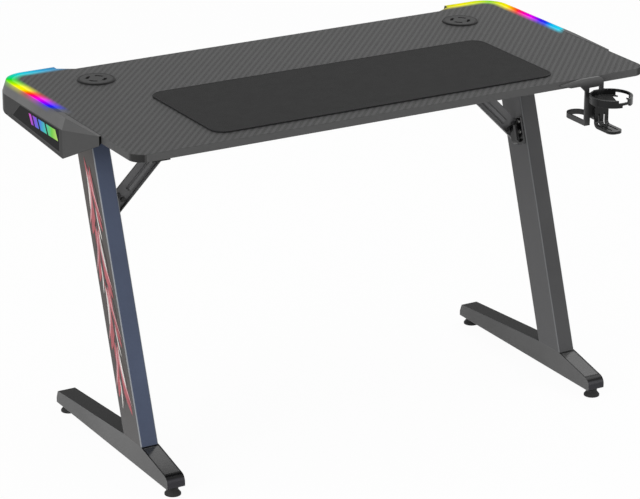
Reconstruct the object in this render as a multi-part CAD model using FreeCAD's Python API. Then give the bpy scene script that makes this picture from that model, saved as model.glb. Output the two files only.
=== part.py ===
import FreeCAD, Part
import math
import os

# Gaming desk on two slanted legs, with lit side wings, a desk mat, a cup holder and a headphone hook.
# Millimetres. X runs to the right of the person at the desk, Y to the rear and Z up from the floor.
# Sizes are set out from the middle of the board. At the end every piece is moved along Y, so that the
# origin lies on the floor in the middle of the whole depth, which the cup holder lengthens to the front.

Vec = FreeCAD.Vector

# Board
TOP_HEIGHT = 740.0
BOARD_WIDTH = 1200.0
BOARD_DEPTH = 596.0
BOARD_THICKNESS = 16.0
BOARD_EDGE_CHAMFER = 1.0
FRONT_CORNER_RADIUS = 30.0
REAR_CORNER_RADIUS = 42.0
RECESS_SIDE_MARGIN = 151.0
RECESS_DEPTH = 20.0
RECESS_RUN = 34.0

# Clearances
FIT_GAP = 0.2
LOOSE_GAP = 0.4
THREAD_GAP = 0.05
FOOT_GAP = 0.3
TINY = 1e-4

# Side wings
WING_REACH_OUT = 20.0
WING_FRONT_HEIGHT = 84.0
WING_REAR_HEIGHT = 62.0
WING_WALL = 3.0
WING_CORNER_SETBACK = 314.0
WING_TIP_SETBACK = 451.0
WING_TIP_REACH_OUT = 5.0
WING_TIP_BELOW_BOARD = 4.0
WING_REACH_IN = 44.0
WING_REAR_REACH_IN = 22.0
WING_BEVEL_DROP = 24.0
WING_BEVEL_RUN = 8.0
WING_TAB_LENGTH = 16.0
WING_TAB_WIDTH = 24.0
WING_TAB_ROOT = 3.0
WING_TAB_SETBACKS = (278.0, 168.0, 58.0)
WING_REAR_TAB_MARGIN = 70.0

# Light bars and the strips under them
LIGHT_WIDTH = 9.0
LIGHT_DEPTH = 15.0
LIGHT_WALL = 2.2
LIGHT_HOLLOW = 3.6
LIGHT_FRONT_SETBACK = 273.0
LIGHT_END_GAP = 3.0
LED_STRIP_THICKNESS = 1.0
LED_SIZE = 2.8
LED_HEIGHT = 1.4
LED_PITCH = 16.0

# Lit motif in the side of the wing
MOTIF_FRONT_SETBACK = 294.0
MOTIF_BAR_LENGTHS = (44.0, 30.0, 19.0, 11.0)
MOTIF_BAR_GAP = 7.0
MOTIF_BAR_SLANT = 12.0
MOTIF_HEIGHT = 21.0
MOTIF_BELOW_TOP = 53.0
MOTIF_BORDER = 2.5
MOTIF_PLATE = 2.0
MOTIF_RIM = 4.0
MOTIF_RIM_WIDTH = 2.0
MOTIF_BOARD_THICKNESS = 1.6

# Cable grommets
GROMMET_SIDE_MARGIN = 155.0
GROMMET_REAR_MARGIN = 112.0
GROMMET_HOLE_RADIUS = 30.0
GROMMET_FLANGE_RADIUS = 40.0
GROMMET_FLANGE_HEIGHT = 3.0
GROMMET_FLANGE_LAP = 1.0
GROMMET_WALL = 2.5
GROMMET_CAP_RADIUS = 34.0
GROMMET_SKIRT_DEPTH = 8.0
GROMMET_SLOT_RADIUS = 19.0
GROMMET_SLOT_WIDTH = 7.0
GROMMET_SLOT_ANGLE = 56.0
GROMMET_SLOT_COUNT = 4

# Desk mat
MAT_WIDTH = 800.0
MAT_DEPTH = 300.0
MAT_THICKNESS = 3.0
MAT_CORNER_RADIUS = 25.0
MAT_FRONT_MARGIN = 42.0

# Leg frames
LEG_SIDE_MARGIN = 87.0
TUBE_WIDTH = 40.0
TUBE_WALL = 2.0
TUBE_CORNER = 4.0
LEG_DEPTH = 82.0
LEG_FOOT_MARGIN = 131.0
LEG_HEAD_SETBACK = 252.0
RAIL_HEIGHT = 25.0
TOP_RAIL_SETBACK = 63.0
CAP_PLATE = 3.0
CAP_PLUG = 10.0

# Foot beams
BEAM_CLEARANCE = 18.0
BEAM_HEEL_MARGIN = 72.5
BEAM_NOSE_MARGIN = 16.0
BEAM_HEEL_HEIGHT = 28.0
BEAM_LEG_HEIGHT = 49.0
BEAM_NOSE_HEIGHT = 24.0
BEAM_NOSE_RADIUS = 17.0
BEAM_TOE_RADIUS = 4.0
HEEL_CAP_LENGTH = 9.5
HEEL_CAP_FACE = 11.0
HEEL_CAP_CROWN = 2.5
HEEL_CAP_RADIUS = 8.0
HEEL_CAP_CROWN_RADIUS = 3.0
TOE_POCKET_DEPTH = 3.0
TOE_PLATE_THICKNESS = 2.4
TOE_START = 5.0
TOE_LENGTH = 92.0
TOE_EDGE = 2.5

# Levelling feet
FOOT_NOSE_INSET = 16.0
FOOT_HEEL_INSET = 8.5
STUD_RADIUS = 4.0
STUD_TOP = 38.0
STUD_BOTTOM = 6.0
NUT_FLATS = 13.0
NUT_HEIGHT = 8.0
PAD_RADIUS = 17.0
PAD_NECK_RADIUS = 11.5
PAD_RIM_HEIGHT = 3.0
PAD_BELL_HEIGHT = 10.0
HOLE_GAP = 0.6

# Cross rails
CROSS_RAIL_DEPTH = 40.0
FRONT_RAIL_INSET = 45.0
END_PLATE_THICKNESS = 3.0
END_PLATE_EAR = 14.0

# Diagonal braces
BRACE_HOOK_GAP = 1.2
BRACE_WIDTH = 38.0
BRACE_SHEET = 2.5
BRACE_HEAD_DROP = 10.1
BRACE_FOOT_SETBACK = 24.0
BRACE_SPAN = 212.0
BRACE_END = 14.0
BRACE_CORNER = 3.0
BRACE_BOLT_SPREAD = 7.0
BRACE_BEAD_WIDTH = 14.0
BRACE_BEAD_OFFSET = 3.0
BRACE_BEAD_HEIGHT = 5.0
BRACE_BEAD_TAPER = 3.0
BRACE_BEAD_END = 20.0
BRACE_LIP = 6.0
LUG_SHEET = 3.0
LUG_WIDTH = 34.0
LUG_MARGIN = 11.0
LUG_WELD = 30.0

# Cup holder
CUP_SIDE_MARGIN = 125.5
CUP_RADIUS = 41.5
CUP_WALL = 3.5
CUP_RING_HEIGHT = 16.0
CUP_RING_BELOW_TOP = 28.0
CUP_NOTCH_WIDTH = 24.0
CUP_NOTCH_DEPTH = 6.0
CUP_NOTCH_ANGLE = -89.0
CUP_GAP_WIDTH = 52.0
CUP_GAP_HEIGHT = 10.0
CUP_GAP_ANGLE = 18.0
CUP_SCOOP_WIDTH = 22.0
CUP_SCOOP_HEIGHT = 5.0
CUP_SCOOP_ANGLE = -79.0
CUP_FLOOR_THICKNESS = 3.5
CUP_FLOOR_EDGE = 11.0
CUP_FLOOR_ANGLE = -20.0
CUP_LEDGE = 2.0
CUP_BACK_RELIEF = 0.6
CUP_BACK_DEPTH = 72.0
CUP_PAD_WIDTH = 28.0
CUP_PAD_RISE = 17.0
CUP_STANDOFF = 11.0
CUP_HEEL_RADIUS = 12.0
CUP_HEEL_INNER_RADIUS = 7.0
CUP_TONGUE_WIDTH = 34.0
CUP_TONGUE_REACH = 72.0
CUP_TONGUE_THICKNESS = 6.0
CUP_TONGUE_TIP_RADIUS = 14.0
CUP_SLOT_WIDTH = 4.0
CUP_SLOT_SPREAD = 7.0
CUP_SLOT_RUN = 18.0
CUP_SLOT_RISE = 24.0
CUP_GROOVE_DEPTH = 2.0
CUP_GROOVE_END = 10.0
BRACKET_OFFSET = 10.0
BRACKET_THICKNESS = 5.0
BRACKET_WIDTH = 45.0
BRACKET_DROP = 83.5
BRACKET_JAW_DEPTH = 46.0
BRACKET_JAW_THICKNESS = 4.0
BRACKET_LIP_REACH = 86.0
BRACKET_LIP_RISE = 9.0
BRACKET_LIP_SLOPE = 26.0
BRACKET_LIP_CREST = 34.0
BRACKET_LIP_TOP_GAP = 0.5
BRACKET_LIP_RADIUS = 15.0
BRACKET_GUSSET = 13.0
WINDOW_WIDTH = 27.0
WINDOW_HEIGHT = 12.0
WINDOW_TOP_BAR = 2.0
PLATE_STRIP_LEFT = 13.0
PLATE_STRIP_RIGHT = 9.0
PLATE_CUT_HEIGHT = 17.0
LOOP_REACH = 77.0
LOOP_HEIGHT = 11.0
LOOP_WALL = 3.5
LOOP_RADIUS = 22.0

# Headphone hook
HOOK_BELOW_TOP = 178.0
HOOK_HEIGHT = 59.0
HOOK_WIDTH = 15.0
HOOK_THICKNESS = 5.0
HOOK_GAP = 16.0
HOOK_FINGER = 44.0
HOOK_TIP_RADIUS = 2.0
HOOK_MARGIN = 1.0
HOOK_SCREW_DROP = 9.0
HOOK_SCREW_SPREAD = 23.0

# Fasteners
BOLT_RADIUS = 3.0
BOLT_HEAD_FLATS = 10.0
BOLT_HEAD_HEIGHT = 4.0
BOLT_TAIL = 6.0
SCREW_RADIUS = 2.2
SCREW_HEAD_RADIUS = 4.2
SCREW_HEAD_HEIGHT = 2.5
SCREW_BITE = 12.0
BOARD_SCREW_INSET = 30.0

# Derived places
SIDE_X = BOARD_WIDTH / 2
FRONT_Y = -BOARD_DEPTH / 2
REAR_Y = BOARD_DEPTH / 2
BOARD_BOTTOM = TOP_HEIGHT - BOARD_THICKNESS
RECESS_X = SIDE_X - RECESS_SIDE_MARGIN
WING_END_X = RECESS_X + RECESS_RUN
WING_BEVEL_Z = TOP_HEIGHT - WING_BEVEL_DROP
WING_CORNER_Y = REAR_Y - WING_CORNER_SETBACK
WING_TIP_Y = REAR_Y - WING_TIP_SETBACK
WING_TAB_PLACES = [REAR_Y - setback for setback in WING_TAB_SETBACKS]
WING_REAR_TAB_X = SIDE_X - WING_REAR_TAB_MARGIN
LIGHT_FRONT_Y = REAR_Y - LIGHT_FRONT_SETBACK
MOTIF_FRONT_Y = REAR_Y - MOTIF_FRONT_SETBACK
GROMMET_X = SIDE_X - GROMMET_SIDE_MARGIN
GROMMET_Y = REAR_Y - GROMMET_REAR_MARGIN
LIGHT_FLOOR = TOP_HEIGHT - LIGHT_DEPTH
RAIL_BOTTOM = BOARD_BOTTOM - RAIL_HEIGHT
TOP_RAIL_END_Y = REAR_Y - TOP_RAIL_SETBACK
FRONT_RAIL_Y = -TOP_RAIL_END_Y + FRONT_RAIL_INSET
LEG_CENTRE_X = SIDE_X - LEG_SIDE_MARGIN
LEG_OUTER_X = LEG_CENTRE_X + TUBE_WIDTH / 2
LEG_INNER_X = LEG_CENTRE_X - TUBE_WIDTH / 2
LEG_FOOT_Y = FRONT_Y + LEG_FOOT_MARGIN
LEG_HEAD_Y = REAR_Y - LEG_HEAD_SETBACK
BEAM_TOP = BEAM_CLEARANCE + BEAM_LEG_HEIGHT
BEAM_HEEL_Y = REAR_Y - BEAM_HEEL_MARGIN
BEAM_NOSE_Y = FRONT_Y + BEAM_NOSE_MARGIN
FOOT_FRONT_Y = BEAM_NOSE_Y + FOOT_NOSE_INSET
FOOT_REAR_Y = BEAM_HEEL_Y - FOOT_HEEL_INSET
LEG_LEAN = (LEG_HEAD_Y - LEG_FOOT_Y) / (RAIL_BOTTOM - BEAM_TOP)
CUP_X = SIDE_X - CUP_SIDE_MARGIN
BRACKET_X = CUP_X - BRACKET_OFFSET
CUP_OUTER_RADIUS = CUP_RADIUS + CUP_WALL
BRACKET_FRONT_Y = FRONT_Y - BRACKET_THICKNESS
CUP_Y = BRACKET_FRONT_Y - CUP_OUTER_RADIUS
CUP_RING_TOP = TOP_HEIGHT - CUP_RING_BELOW_TOP
BRACKET_JAW_BOTTOM = BOARD_BOTTOM - BRACKET_JAW_THICKNESS
BRACKET_BOTTOM = BRACKET_JAW_BOTTOM - BRACKET_DROP
HOOK_TOP = TOP_HEIGHT - HOOK_BELOW_TOP
HOOK_TOP_FRONT_Y = LEG_FOOT_Y + LEG_LEAN * (HOOK_TOP - BEAM_TOP) + TUBE_CORNER + HOOK_MARGIN
BRACE_FACE_Y = HOOK_TOP_FRONT_Y + HOOK_WIDTH + BRACE_HOOK_GAP
BRACE_BACK_Y = BRACE_FACE_Y + BRACE_SHEET
REAR_RAIL_Y = BRACE_BACK_Y + LUG_SHEET
MIDDLE_SHIFT_Y = -((CUP_Y - CUP_OUTER_RADIUS) + (REAR_Y + WING_REACH_OUT)) / 2
UP = Vec(0, 0, 1)


# Shape helpers


def on_plan(height):
    """Return the rule that lays a flat point down at this height."""
    return lambda u, v: Vec(u, v, height)


def on_side(place):
    """Return the rule that stands a flat point up in the plane across X."""
    return lambda u, v: Vec(place, u, v)


def on_front(place):
    """Return the rule that stands a flat point up in the plane across Y."""
    return lambda u, v: Vec(u, place, v)


def outline(corners, lay):
    """Return a closed wire through corners given as (u, v) or, for a rounded one, (u, v, radius)."""
    runs = []
    count = len(corners)
    for index, corner in enumerate(corners):
        point = Vec(corner[0], corner[1], 0)
        radius = corner[2] if len(corner) > 2 else 0.0
        if radius == 0.0:
            runs.append((point, None, point))
            continue
        before = corners[index - 1]
        after = corners[(index + 1) % count]
        toward = (Vec(before[0], before[1], 0) - point).normalize()
        away = (Vec(after[0], after[1], 0) - point).normalize()
        half = toward.getAngle(away) / 2
        setback = radius / math.tan(half)
        bisector = (toward + away).normalize()
        middle = point + bisector * (radius / math.sin(half) - radius)
        runs.append((point + toward * setback, middle, point + away * setback))
    edges = []
    for index, (start, middle, end) in enumerate(runs):
        if middle is not None:
            ends = [lay(spot.x, spot.y) for spot in (start, middle, end)]
            edges.append(Part.Arc(*ends).toShape())
        following = runs[(index + 1) % count][0]
        edges.append(Part.makeLine(lay(end.x, end.y), lay(following.x, following.y)))
    return Part.Wire(edges)


def prism(corners, lay, travel):
    """Return the solid that an outline sweeps along a straight travel."""
    return Part.Face(outline(corners, lay)).extrude(travel)


def plan_prism(corners, low, high):
    """Return an upright prism between two heights."""
    return prism(corners, on_plan(low), Vec(0, 0, high - low))


def side_prism(corners, left, right):
    """Return a prism across X from a (y, z) outline."""
    return prism(corners, on_side(left), Vec(right - left, 0, 0))


def front_prism(corners, front, rear):
    """Return a prism across Y from an (x, z) outline."""
    return prism(corners, on_front(front), Vec(0, rear - front, 0))


def rectangle(left, right, low, high, radius=0.0):
    """Return the four corners of a rectangle, rounded if a radius is given."""
    return [(left, low, radius), (right, low, radius), (right, high, radius), (left, high, radius)]


def block(left, right, front, rear, low, high):
    """Return a box between three pairs of faces."""
    return plan_prism(rectangle(left, right, front, rear), low, high)


def rod(start, axis, radius, length):
    """Return a round bar from a point along an axis."""
    return Part.makeCylinder(radius, length, start, axis)


def uprights(places, low, radius, length):
    """Return upright round bars at (x, y) places, all from one height."""
    return [rod(Vec(x, y, low), UP, radius, length) for x, y in places]


def both_sides(places):
    """Return left-hand (x, y) places together with their right-hand twins."""
    return places + [(-x, y) for x, y in places]


def rims_at(shape, height):
    """Return the edges of a shape that lie level at a height."""
    level = [edge for edge in shape.Edges if edge.BoundBox.ZLength < TINY]
    return [edge for edge in level if abs(edge.BoundBox.ZMin - height) < TINY]


def hexagon_bar(start, axis, flats, length):
    """Return a six-sided bar from a point along an axis."""
    reach = flats / math.sqrt(3)
    turns = [math.radians(60 * step) for step in range(6)]
    bar = plan_prism([(reach * math.cos(turn), reach * math.sin(turn)) for turn in turns], 0, length)
    bar.Placement = FreeCAD.Placement(start, FreeCAD.Rotation(UP, axis))
    return bar


def fused(shapes):
    """Return shapes joined into one, with seams in flat faces removed."""
    first, *rest = shapes
    return first.fuse(rest).removeSplitter() if rest else first


def group(shapes):
    """Return separate solids kept together."""
    return Part.makeCompound(shapes)


def mirrored(shape):
    """Return the right-hand twin of a left-hand shape."""
    return shape.mirror(Vec(0, 0, 0), Vec(1, 0, 0))


def half_space(first, second, third, inset):
    """Return a large block above the plane through three points, raised square to it by an inset."""
    normal = (second - first).cross(third - first).normalize()
    if normal.z < 0:
        normal = normal * -1
    span = BOARD_WIDTH + BOARD_DEPTH + TOP_HEIGHT
    slab = Part.makeBox(2 * span, 2 * span, span, Vec(-span, -span, 0))
    slab.Placement = FreeCAD.Placement(first + normal * inset, FreeCAD.Rotation(UP, normal))
    return slab


def shank(start, axis, radius, reach):
    """Return a fastener's shank without its thread, drawn plainly as a bar with six flats."""
    return hexagon_bar(start, axis, radius * math.sqrt(3), reach)


def bolt(start, axis, reach):
    """Return a hexagon bolt whose head bears at the start point and whose shank runs along the axis."""
    head = hexagon_bar(start - axis * BOLT_HEAD_HEIGHT, axis, BOLT_HEAD_FLATS, BOLT_HEAD_HEIGHT)
    return fused([head, shank(start, axis, BOLT_RADIUS, reach)])


def screw(start, axis, reach):
    """Return a pan-head screw whose head bears at the start point and whose shank runs along the axis."""
    head = rod(start - axis * SCREW_HEAD_HEIGHT, axis, SCREW_HEAD_RADIUS, SCREW_HEAD_HEIGHT)
    return fused([head, shank(start, axis, SCREW_RADIUS, reach)])


# Board


def board_corners():
    """Return the corners of the board, with the long recess in the rear edge."""
    return [
        (-SIDE_X, FRONT_Y, FRONT_CORNER_RADIUS),
        (SIDE_X, FRONT_Y, FRONT_CORNER_RADIUS),
        (SIDE_X, REAR_Y, REAR_CORNER_RADIUS),
        (WING_END_X, REAR_Y),
        (RECESS_X, REAR_Y - RECESS_DEPTH),
        (-RECESS_X, REAR_Y - RECESS_DEPTH),
        (-WING_END_X, REAR_Y),
        (-SIDE_X, REAR_Y, REAR_CORNER_RADIUS),
    ]


def panel_screw_places():
    """Return the places of the left wing's screws on the board's underside."""
    places = [(wing_lip_x(y) + WING_TAB_LENGTH / 2, y) for y in WING_TAB_PLACES]
    places.append((-WING_REAR_TAB_X, REAR_Y - WING_REAR_REACH_IN - WING_TAB_LENGTH / 2))
    return places


def board_screw_places():
    """Return the places of the left top rail's screws: near its ends and between the cross rails."""
    end = TOP_RAIL_END_Y - BOARD_SCREW_INSET
    between = (FRONT_RAIL_Y + CROSS_RAIL_DEPTH + REAR_RAIL_Y) / 2
    return [(-LEG_CENTRE_X, y) for y in (-end, between, end)]


def cup_screw_places():
    """Return the places of the screws through the cup holder's jaw."""
    middle_y = FRONT_Y + BRACKET_JAW_DEPTH / 2
    spread = BRACKET_WIDTH / 4
    return [(BRACKET_X - spread, middle_y), (BRACKET_X + spread, middle_y)]


def make_tabletop():
    """Return the board with its cable holes and the pilot holes in its underside."""
    board = plan_prism(board_corners(), BOARD_BOTTOM, TOP_HEIGHT)
    board = board.makeChamfer(BOARD_EDGE_CHAMFER, rims_at(board, BOARD_BOTTOM) + rims_at(board, TOP_HEIGHT))
    grommets = both_sides([(-GROMMET_X, GROMMET_Y)])
    holes = uprights(grommets, BOARD_BOTTOM, GROMMET_HOLE_RADIUS, BOARD_THICKNESS)
    screws = both_sides(panel_screw_places() + board_screw_places()) + cup_screw_places()
    holes += uprights(screws, BOARD_BOTTOM, SCREW_RADIUS + THREAD_GAP, SCREW_BITE + LOOSE_GAP)
    return board.cut(holes)


# Side wings


def corner_band(inner, outer, front_y, end_x):
    """Return the plan corners of a band round the board's left rear corner, given by its two offsets."""
    return [
        (-(SIDE_X + inner), front_y),
        (-(SIDE_X + inner), REAR_Y + inner, REAR_CORNER_RADIUS + inner),
        (-end_x, REAR_Y + inner),
        (-end_x, REAR_Y + outer),
        (-(SIDE_X + outer), REAR_Y + outer, REAR_CORNER_RADIUS + outer),
        (-(SIDE_X + outer), front_y),
    ]


def wing_planes(inset):
    """Return the half spaces above the wing's sloped underside: side, fairing and rear."""
    edge_x = -(SIDE_X + WING_REACH_OUT)
    edge_y = REAR_Y + WING_REACH_OUT
    front_low = Vec(edge_x, WING_CORNER_Y, TOP_HEIGHT - WING_FRONT_HEIGHT)
    rear_low = Vec(edge_x, edge_y, TOP_HEIGHT - WING_REAR_HEIGHT)
    lip = Vec(-(SIDE_X - WING_REACH_IN), WING_CORNER_Y, BOARD_BOTTOM)
    tip = Vec(-(SIDE_X + WING_TIP_REACH_OUT), WING_TIP_Y, BOARD_BOTTOM - WING_TIP_BELOW_BOARD)
    rear_end = Vec(-WING_END_X, edge_y, rear_low.z)
    rear_lip = Vec(edge_x, REAR_Y - WING_REAR_REACH_IN, BOARD_BOTTOM)
    side = half_space(front_low, rear_low, lip, inset)
    fairing = half_space(front_low, tip, lip, inset)
    rear = half_space(rear_low, rear_end, rear_lip, inset)
    return side, fairing, rear


def wing_lip_x(y):
    """Return where the side slope of the left wing's underside meets the board's underside."""
    drop_front = WING_FRONT_HEIGHT - BOARD_THICKNESS
    drop_rear = WING_REAR_HEIGHT - BOARD_THICKNESS
    share = (y - WING_CORNER_Y) / (REAR_Y + WING_REACH_OUT - WING_CORNER_Y)
    drop = drop_front + (drop_rear - drop_front) * share
    return -(SIDE_X + WING_REACH_OUT) + drop * (WING_REACH_OUT + WING_REACH_IN) / drop_front


def above_wing_planes(shape, inset):
    """Return the part of a shape above the wing's sloped underside."""
    side, fairing, rear = wing_planes(inset)
    return shape.common(side).common(fairing).fuse(shape.common(rear)).removeSplitter()


def wing_lower_corners(inset):
    """Return the plan corners of the wing below its bevel, with walls drawn in by an inset."""
    out = WING_REACH_OUT - inset
    inner_x = -(SIDE_X - WING_REACH_IN - WING_REACH_OUT)
    inner_y = REAR_Y - WING_REACH_IN - WING_REACH_OUT
    return [
        (-(WING_END_X + inset), REAR_Y + out),
        (-(SIDE_X + out), REAR_Y + out, REAR_CORNER_RADIUS + out),
        (-(SIDE_X + out), WING_CORNER_Y),
        (-(SIDE_X + WING_TIP_REACH_OUT - inset), WING_TIP_Y + inset),
        (inner_x, WING_TIP_Y + inset),
        (inner_x, inner_y),
        (-(WING_END_X + inset), inner_y),
    ]


def wing_under_corners(inset):
    """Return the plan corners of the wing between its bevel's foot and the board's underside."""
    inner_x = -(SIDE_X - WING_REACH_IN - WING_REACH_OUT)
    inner_y = REAR_Y - WING_REACH_IN - WING_REACH_OUT
    return [
        (-(WING_END_X + inset), REAR_Y),
        (-SIDE_X, REAR_Y, REAR_CORNER_RADIUS),
        (-SIDE_X, WING_TIP_Y + inset),
        (inner_x, WING_TIP_Y + inset),
        (inner_x, inner_y),
        (-(WING_END_X + inset), inner_y),
    ]


def wing_body(inset):
    """Return the wing's bulk up to the board's underside, above its sloped underside."""
    floor = TOP_HEIGHT - WING_FRONT_HEIGHT - WING_WALL
    lower = plan_prism(wing_lower_corners(inset), floor, WING_BEVEL_Z)
    under = plan_prism(wing_under_corners(inset), WING_BEVEL_Z, BOARD_BOTTOM)
    return above_wing_planes(lower.fuse(under), inset)


def wing_crown():
    """Return the part of the wing beside the board: the bevel behind and the faceted fairing in front."""
    bevel_out = WING_REACH_OUT - WING_BEVEL_RUN
    foot = outline(corner_band(0, WING_REACH_OUT, WING_CORNER_Y, WING_END_X), on_plan(WING_BEVEL_Z))
    head = outline(corner_band(0, bevel_out, WING_CORNER_Y, WING_END_X), on_plan(TOP_HEIGHT))
    bevel = Part.makeLoft([foot, head], True, True)
    fairing = plan_prism(
        [
            (-SIDE_X, WING_CORNER_Y),
            (-(SIDE_X + WING_REACH_OUT), WING_CORNER_Y),
            (-(SIDE_X + WING_TIP_REACH_OUT), WING_TIP_Y),
            (-SIDE_X, WING_TIP_Y),
        ],
        WING_BEVEL_Z,
        TOP_HEIGHT,
    )
    beyond_facet = half_space(
        Vec(-(SIDE_X + bevel_out), WING_CORNER_Y, TOP_HEIGHT),
        Vec(-(SIDE_X + WING_REACH_OUT), WING_CORNER_Y, WING_BEVEL_Z),
        Vec(-(SIDE_X + WING_TIP_REACH_OUT), WING_TIP_Y, TOP_HEIGHT),
        0,
    )
    return above_wing_planes(bevel.fuse(fairing.cut(beyond_facet)), 0)


def wing_tabs():
    """Return the drilled tabs that hold the wing under the board."""
    low = BOARD_BOTTOM - WING_WALL
    half = WING_TAB_WIDTH / 2
    tabs = []
    for y in WING_TAB_PLACES:
        left = wing_lip_x(y) - WING_TAB_ROOT
        right = wing_lip_x(y) + WING_TAB_LENGTH
        tabs.append(block(left, right, y - half, y + half, low, BOARD_BOTTOM))
    lip = REAR_Y - WING_REAR_REACH_IN
    left = -(WING_REAR_TAB_X + half)
    right = -(WING_REAR_TAB_X - half)
    tabs.append(block(left, right, lip - WING_TAB_LENGTH, lip + WING_TAB_ROOT, low, BOARD_BOTTOM))
    return tabs


def motif_bars(gap, left, right):
    """Return the slanted bars of the lit motif, drawn in by a gap, between two places on X."""
    low = TOP_HEIGHT - MOTIF_BELOW_TOP
    start = MOTIF_FRONT_Y
    bars = []
    for length in MOTIF_BAR_LENGTHS:
        corners = [
            (start + gap, low + gap),
            (start + length - gap, low + gap),
            (start + length + MOTIF_BAR_SLANT - gap, low + MOTIF_HEIGHT - gap),
            (start + MOTIF_BAR_SLANT + gap, low + MOTIF_HEIGHT - gap),
        ]
        bars.append(side_prism(corners, left, right))
        start += length + MOTIF_BAR_GAP
    return bars


def motif_frame(border):
    """Return the rectangle in (y, z) round the motif with a border."""
    run = sum(MOTIF_BAR_LENGTHS) + MOTIF_BAR_GAP * (len(MOTIF_BAR_LENGTHS) - 1) + MOTIF_BAR_SLANT
    low = TOP_HEIGHT - MOTIF_BELOW_TOP
    front = MOTIF_FRONT_Y
    return rectangle(front - border, front + run + border, low - border, low + MOTIF_HEIGHT + border)


def make_side_panel():
    """Return the left wing: a wedge-shaped shell with a bevelled crown, light channel and tabs."""
    shell = wing_body(0).fuse([wing_crown()] + wing_tabs()).removeSplitter()
    hollow = wing_body(WING_WALL)
    channel_corners = corner_band(
        0,
        LIGHT_WIDTH + FIT_GAP,
        LIGHT_FRONT_Y - FIT_GAP,
        WING_END_X + LIGHT_END_GAP - FIT_GAP,
    )
    channel = plan_prism(channel_corners, LIGHT_FLOOR, TOP_HEIGHT)
    outer = -(SIDE_X + WING_REACH_OUT)
    windows = motif_bars(0, outer, outer + WING_WALL)
    holes = uprights(panel_screw_places(), BOARD_BOTTOM - WING_WALL, SCREW_RADIUS + FIT_GAP, WING_WALL)
    return shell.cut([hollow, channel] + windows + holes).removeSplitter()


def make_light_diffuser():
    """Return the left light bar, an upturned channel that follows the board's rear corner."""
    end_x = WING_END_X + LIGHT_END_GAP
    bar = plan_prism(corner_band(FIT_GAP, LIGHT_WIDTH, LIGHT_FRONT_Y, end_x), LIGHT_FLOOR, TOP_HEIGHT)
    groove_corners = corner_band(
        FIT_GAP + LIGHT_WALL,
        LIGHT_WIDTH - LIGHT_WALL,
        LIGHT_FRONT_Y + LIGHT_WALL,
        end_x + LIGHT_WALL,
    )
    return bar.cut(plan_prism(groove_corners, LIGHT_FLOOR, LIGHT_FLOOR + LIGHT_HOLLOW))


def make_led_strip():
    """Return the left strip of light-emitting diodes that lies under the light bar."""
    inner = FIT_GAP + LIGHT_WALL + FIT_GAP
    outer = LIGHT_WIDTH - LIGHT_WALL - FIT_GAP
    front_y = LIGHT_FRONT_Y + LIGHT_WALL + FIT_GAP
    end_x = WING_END_X + LIGHT_END_GAP + LIGHT_WALL + FIT_GAP
    top = LIGHT_FLOOR + LED_STRIP_THICKNESS
    tape = plan_prism(corner_band(inner, outer, front_y, end_x), LIGHT_FLOOR, top)
    middle = (inner + outer) / 2
    half = LED_SIZE / 2
    places = []
    y = front_y + LED_SIZE
    while y < REAR_Y - REAR_CORNER_RADIUS:
        places.append((-(SIDE_X + middle), y))
        y += LED_PITCH
    x = end_x + LED_SIZE
    while x < SIDE_X - REAR_CORNER_RADIUS:
        places.append((-x, REAR_Y + middle))
        x += LED_PITCH
    diodes = [block(x - half, x + half, y - half, y + half, top, top + LED_HEIGHT) for x, y in places]
    return fused([tape] + diodes)


def make_badge_lens():
    """Return the left motif lens: bars that fill the wing's windows, on a plate with a rim behind."""
    outer = -(SIDE_X + WING_REACH_OUT)
    inside = outer + WING_WALL
    bars = motif_bars(FIT_GAP, outer, inside)
    plate = side_prism(motif_frame(MOTIF_BORDER), inside, inside + MOTIF_PLATE)
    rim = side_prism(motif_frame(MOTIF_BORDER), inside + MOTIF_PLATE, inside + MOTIF_PLATE + MOTIF_RIM)
    well_corners = motif_frame(MOTIF_BORDER - MOTIF_RIM_WIDTH)
    well = side_prism(well_corners, inside + MOTIF_PLATE, inside + MOTIF_PLATE + MOTIF_RIM)
    return fused([plate, rim.cut(well)] + bars)


def make_badge_board():
    """Return the left circuit board behind the motif lens, with one diode behind each bar."""
    start_x = -(SIDE_X + WING_REACH_OUT) + WING_WALL + MOTIF_PLATE + MOTIF_RIM
    board = side_prism(motif_frame(MOTIF_BORDER), start_x, start_x + MOTIF_BOARD_THICKNESS)
    half = LED_SIZE / 2
    z = TOP_HEIGHT - MOTIF_BELOW_TOP + MOTIF_HEIGHT / 2
    start_y = MOTIF_FRONT_Y + MOTIF_BAR_SLANT / 2
    diodes = []
    for length in MOTIF_BAR_LENGTHS:
        y = start_y + length / 2
        diodes.append(block(start_x - LED_HEIGHT, start_x, y - half, y + half, z - half, z + half))
        start_y += length + MOTIF_BAR_GAP
    return fused([board] + diodes)


# Cable grommets


def make_grommet_bush():
    """Return the left cable bush: a flange on the board with a sunk seat, and a sleeve in its hole."""
    axis_low = Vec(-GROMMET_X, GROMMET_Y, BOARD_BOTTOM)
    seat = TOP_HEIGHT + GROMMET_FLANGE_LAP
    rise = GROMMET_FLANGE_HEIGHT - GROMMET_FLANGE_LAP
    bore = GROMMET_HOLE_RADIUS - FIT_GAP - GROMMET_WALL
    sleeve = rod(axis_low, UP, GROMMET_HOLE_RADIUS - FIT_GAP, BOARD_THICKNESS)
    top = Vec(-GROMMET_X, GROMMET_Y, TOP_HEIGHT)
    flange = rod(top, UP, GROMMET_FLANGE_RADIUS, GROMMET_FLANGE_HEIGHT)
    flange = flange.makeChamfer(rise, rims_at(flange, TOP_HEIGHT + GROMMET_FLANGE_HEIGHT))
    recess = rod(Vec(top.x, top.y, seat), UP, GROMMET_CAP_RADIUS + LOOSE_GAP, rise)
    hole = rod(axis_low, UP, bore, BOARD_THICKNESS + GROMMET_FLANGE_HEIGHT)
    return sleeve.fuse(flange).cut([recess, hole]).removeSplitter()


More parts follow.
